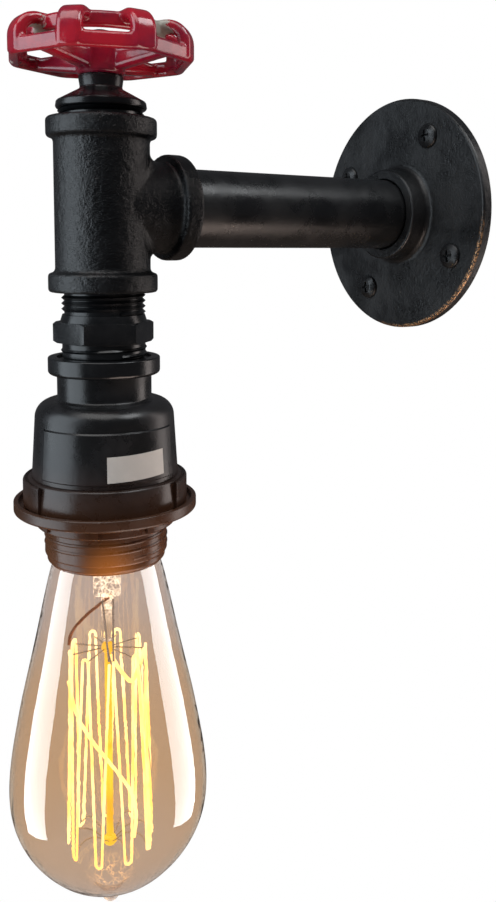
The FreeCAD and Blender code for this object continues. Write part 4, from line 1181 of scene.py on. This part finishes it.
def softbox(name, place, width, height, power, colour):
    """Rectangular light at a bearing, height angle and distance from the lamp, and facing it."""
    bearing, rise, distance = math.radians(place[0]), math.radians(place[1]), place[2]
    ahead = Vector((math.cos(rise) * math.cos(bearing), math.cos(rise) * math.sin(bearing), math.sin(rise)))
    lamp = light(name, "AREA", AIM + ahead * distance, power, colour)
    lamp.data.shape = "RECTANGLE"
    lamp.data.size = width
    lamp.data.size_y = height
    lamp.rotation_euler = ahead.to_track_quat("Z", "Y").to_euler()
    return lamp


def linked(lamp, pieces, state):
    """Let a light reach these pieces alone, or every piece but these."""
    group = bpy.data.collections.new(lamp.name + "_receivers")
    for piece in pieces:
        group.objects.link(piece)
    for item in group.collection_objects:
        item.light_linking.link_state = state
    lamp.light_linking.receiver_collection = group


def bulb_light(settings):
    """Small warm light at the middle of the filament."""
    middle = lamp_point(0, 0, (UPPER_BEAD + LOWER_BEAD) / 2)
    lamp = light("filament_light", "POINT", middle, settings.bulb_power, (1.0, 0.55, 0.2))
    lamp.data.shadow_soft_size = 0.012
    lamp.visible_glossy = False


def seen_directly(tree):
    """Mask of what the camera sees, also through glass."""
    path = add_node(tree, "ShaderNodeLightPath").outputs
    return sums(tree, "MAXIMUM", path["Is Camera Ray"], path["Is Transmission Ray"])


def make_world(scene):
    """White backdrop for what the camera and the glass see, dim surroundings for the rest."""
    world = bpy.data.worlds.new("Studio")
    scene.world = world
    world.use_nodes = True
    tree = world.node_tree
    dim = (0.07, 0.07, 0.075, 1)
    feed(tree, tree.nodes["Background"].inputs["Color"], mix(tree, seen_directly(tree), dim, WHITE))


def make_ground(settings):
    """Pale ground under the bulb that the camera sees as white."""
    clear_selection()
    side, level = 6, GLASS_FOOT * MM - settings.floor_drop
    bpy.ops.mesh.primitive_plane_add(size=side, location=(0, LAMP_Y, level))
    ground = bpy.context.active_object
    ground.name = "ground"
    material, tree, shader = new_finish("Ground")
    seen = seen_directly(tree)
    pale = (0.36, 0.29, 0.25, 1)
    feed_all(tree, shader, {
        "Roughness": 0.9, "Specular IOR Level": 0.0, "Base Color": mix(tree, seen, pale, DARK),
        "Emission Color": mix(tree, seen, DARK, WHITE), "Emission Strength": 1.0,
    })
    ground.data.materials.append(material)


def make_camera(scene, settings):
    """Camera on the room side, to the right of the arm and level with the tee."""
    clear_selection()
    place, shift = (0.27345, -0.25848, -0.01091), -0.1109
    bpy.ops.object.camera_add(location=place)
    camera = bpy.context.active_object
    camera.name = "camera"
    down, heading, roll = math.radians(6.9), math.radians(56.27), math.radians(0.4)
    turn = Euler((math.pi / 2 - down, 0, heading)).to_matrix()
    camera.rotation_euler = (turn @ Matrix.Rotation(roll, 3, "Z")).to_euler()
    camera.data.lens = settings.lens
    camera.data.sensor_width = 36
    camera.data.shift_y = shift
    camera.data.clip_start = 0.01
    camera.data.clip_end = 20
    scene.camera = camera


class WALLLIGHT_PT_panel(bpy.types.Panel):
    """Buttons and settings of the wall light"""

    bl_label = "Wall Light"
    bl_idname = "WALLLIGHT_PT_panel"
    bl_space_type = "VIEW_3D"
    bl_region_type = "UI"
    bl_category = "Wall Light"

    def draw(self, context):
        layout = self.layout
        for settings in (context.scene.wall_light_sizes, context.scene.wall_light_colours,
                         context.scene.wall_light_stage):
            box = layout.box()
            for key in settings.bl_rna.properties.keys():
                if key not in ("rna_type", "name"):
                    box.prop(settings, key)
        for step in STEPS:
            layout.operator("wall_light." + step)


STEPS = ["finishes", "flange_screws", "tee", "bonnet", "handwheel", "nipple", "lampholder", "sticker", "bulb",
         "filament", "stage"]
CLASSES = [
    WallLightSizes,
    WallLightColours,
    WallLightStage,
    WALLLIGHT_OT_finishes,
    WALLLIGHT_OT_flange_screws,
    WALLLIGHT_OT_tee,
    WALLLIGHT_OT_bonnet,
    WALLLIGHT_OT_handwheel,
    WALLLIGHT_OT_nipple,
    WALLLIGHT_OT_lampholder,
    WALLLIGHT_OT_sticker,
    WALLLIGHT_OT_bulb,
    WALLLIGHT_OT_filament,
    WALLLIGHT_OT_stage,
    WALLLIGHT_PT_panel,
]


def register():
    """Register the classes and hang the settings on the scene."""
    for cls in CLASSES:
        bpy.utils.register_class(cls)
    bpy.types.Scene.wall_light_sizes = bpy.props.PointerProperty(type=WallLightSizes)
    bpy.types.Scene.wall_light_colours = bpy.props.PointerProperty(type=WallLightColours)
    bpy.types.Scene.wall_light_stage = bpy.props.PointerProperty(type=WallLightStage)


def unregister():
    """Take the settings and the classes away again."""
    del bpy.types.Scene.wall_light_stage
    del bpy.types.Scene.wall_light_colours
    del bpy.types.Scene.wall_light_sizes
    for cls in reversed(CLASSES):
        bpy.utils.unregister_class(cls)


def main():
    """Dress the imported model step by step."""
    register()
    for step in STEPS:
        result = getattr(bpy.ops.wall_light, step)()
        if result != {"FINISHED"}:
            raise RuntimeError(f"wall_light.{step} didn't finish")


if __name__ == "__main__":
    main()
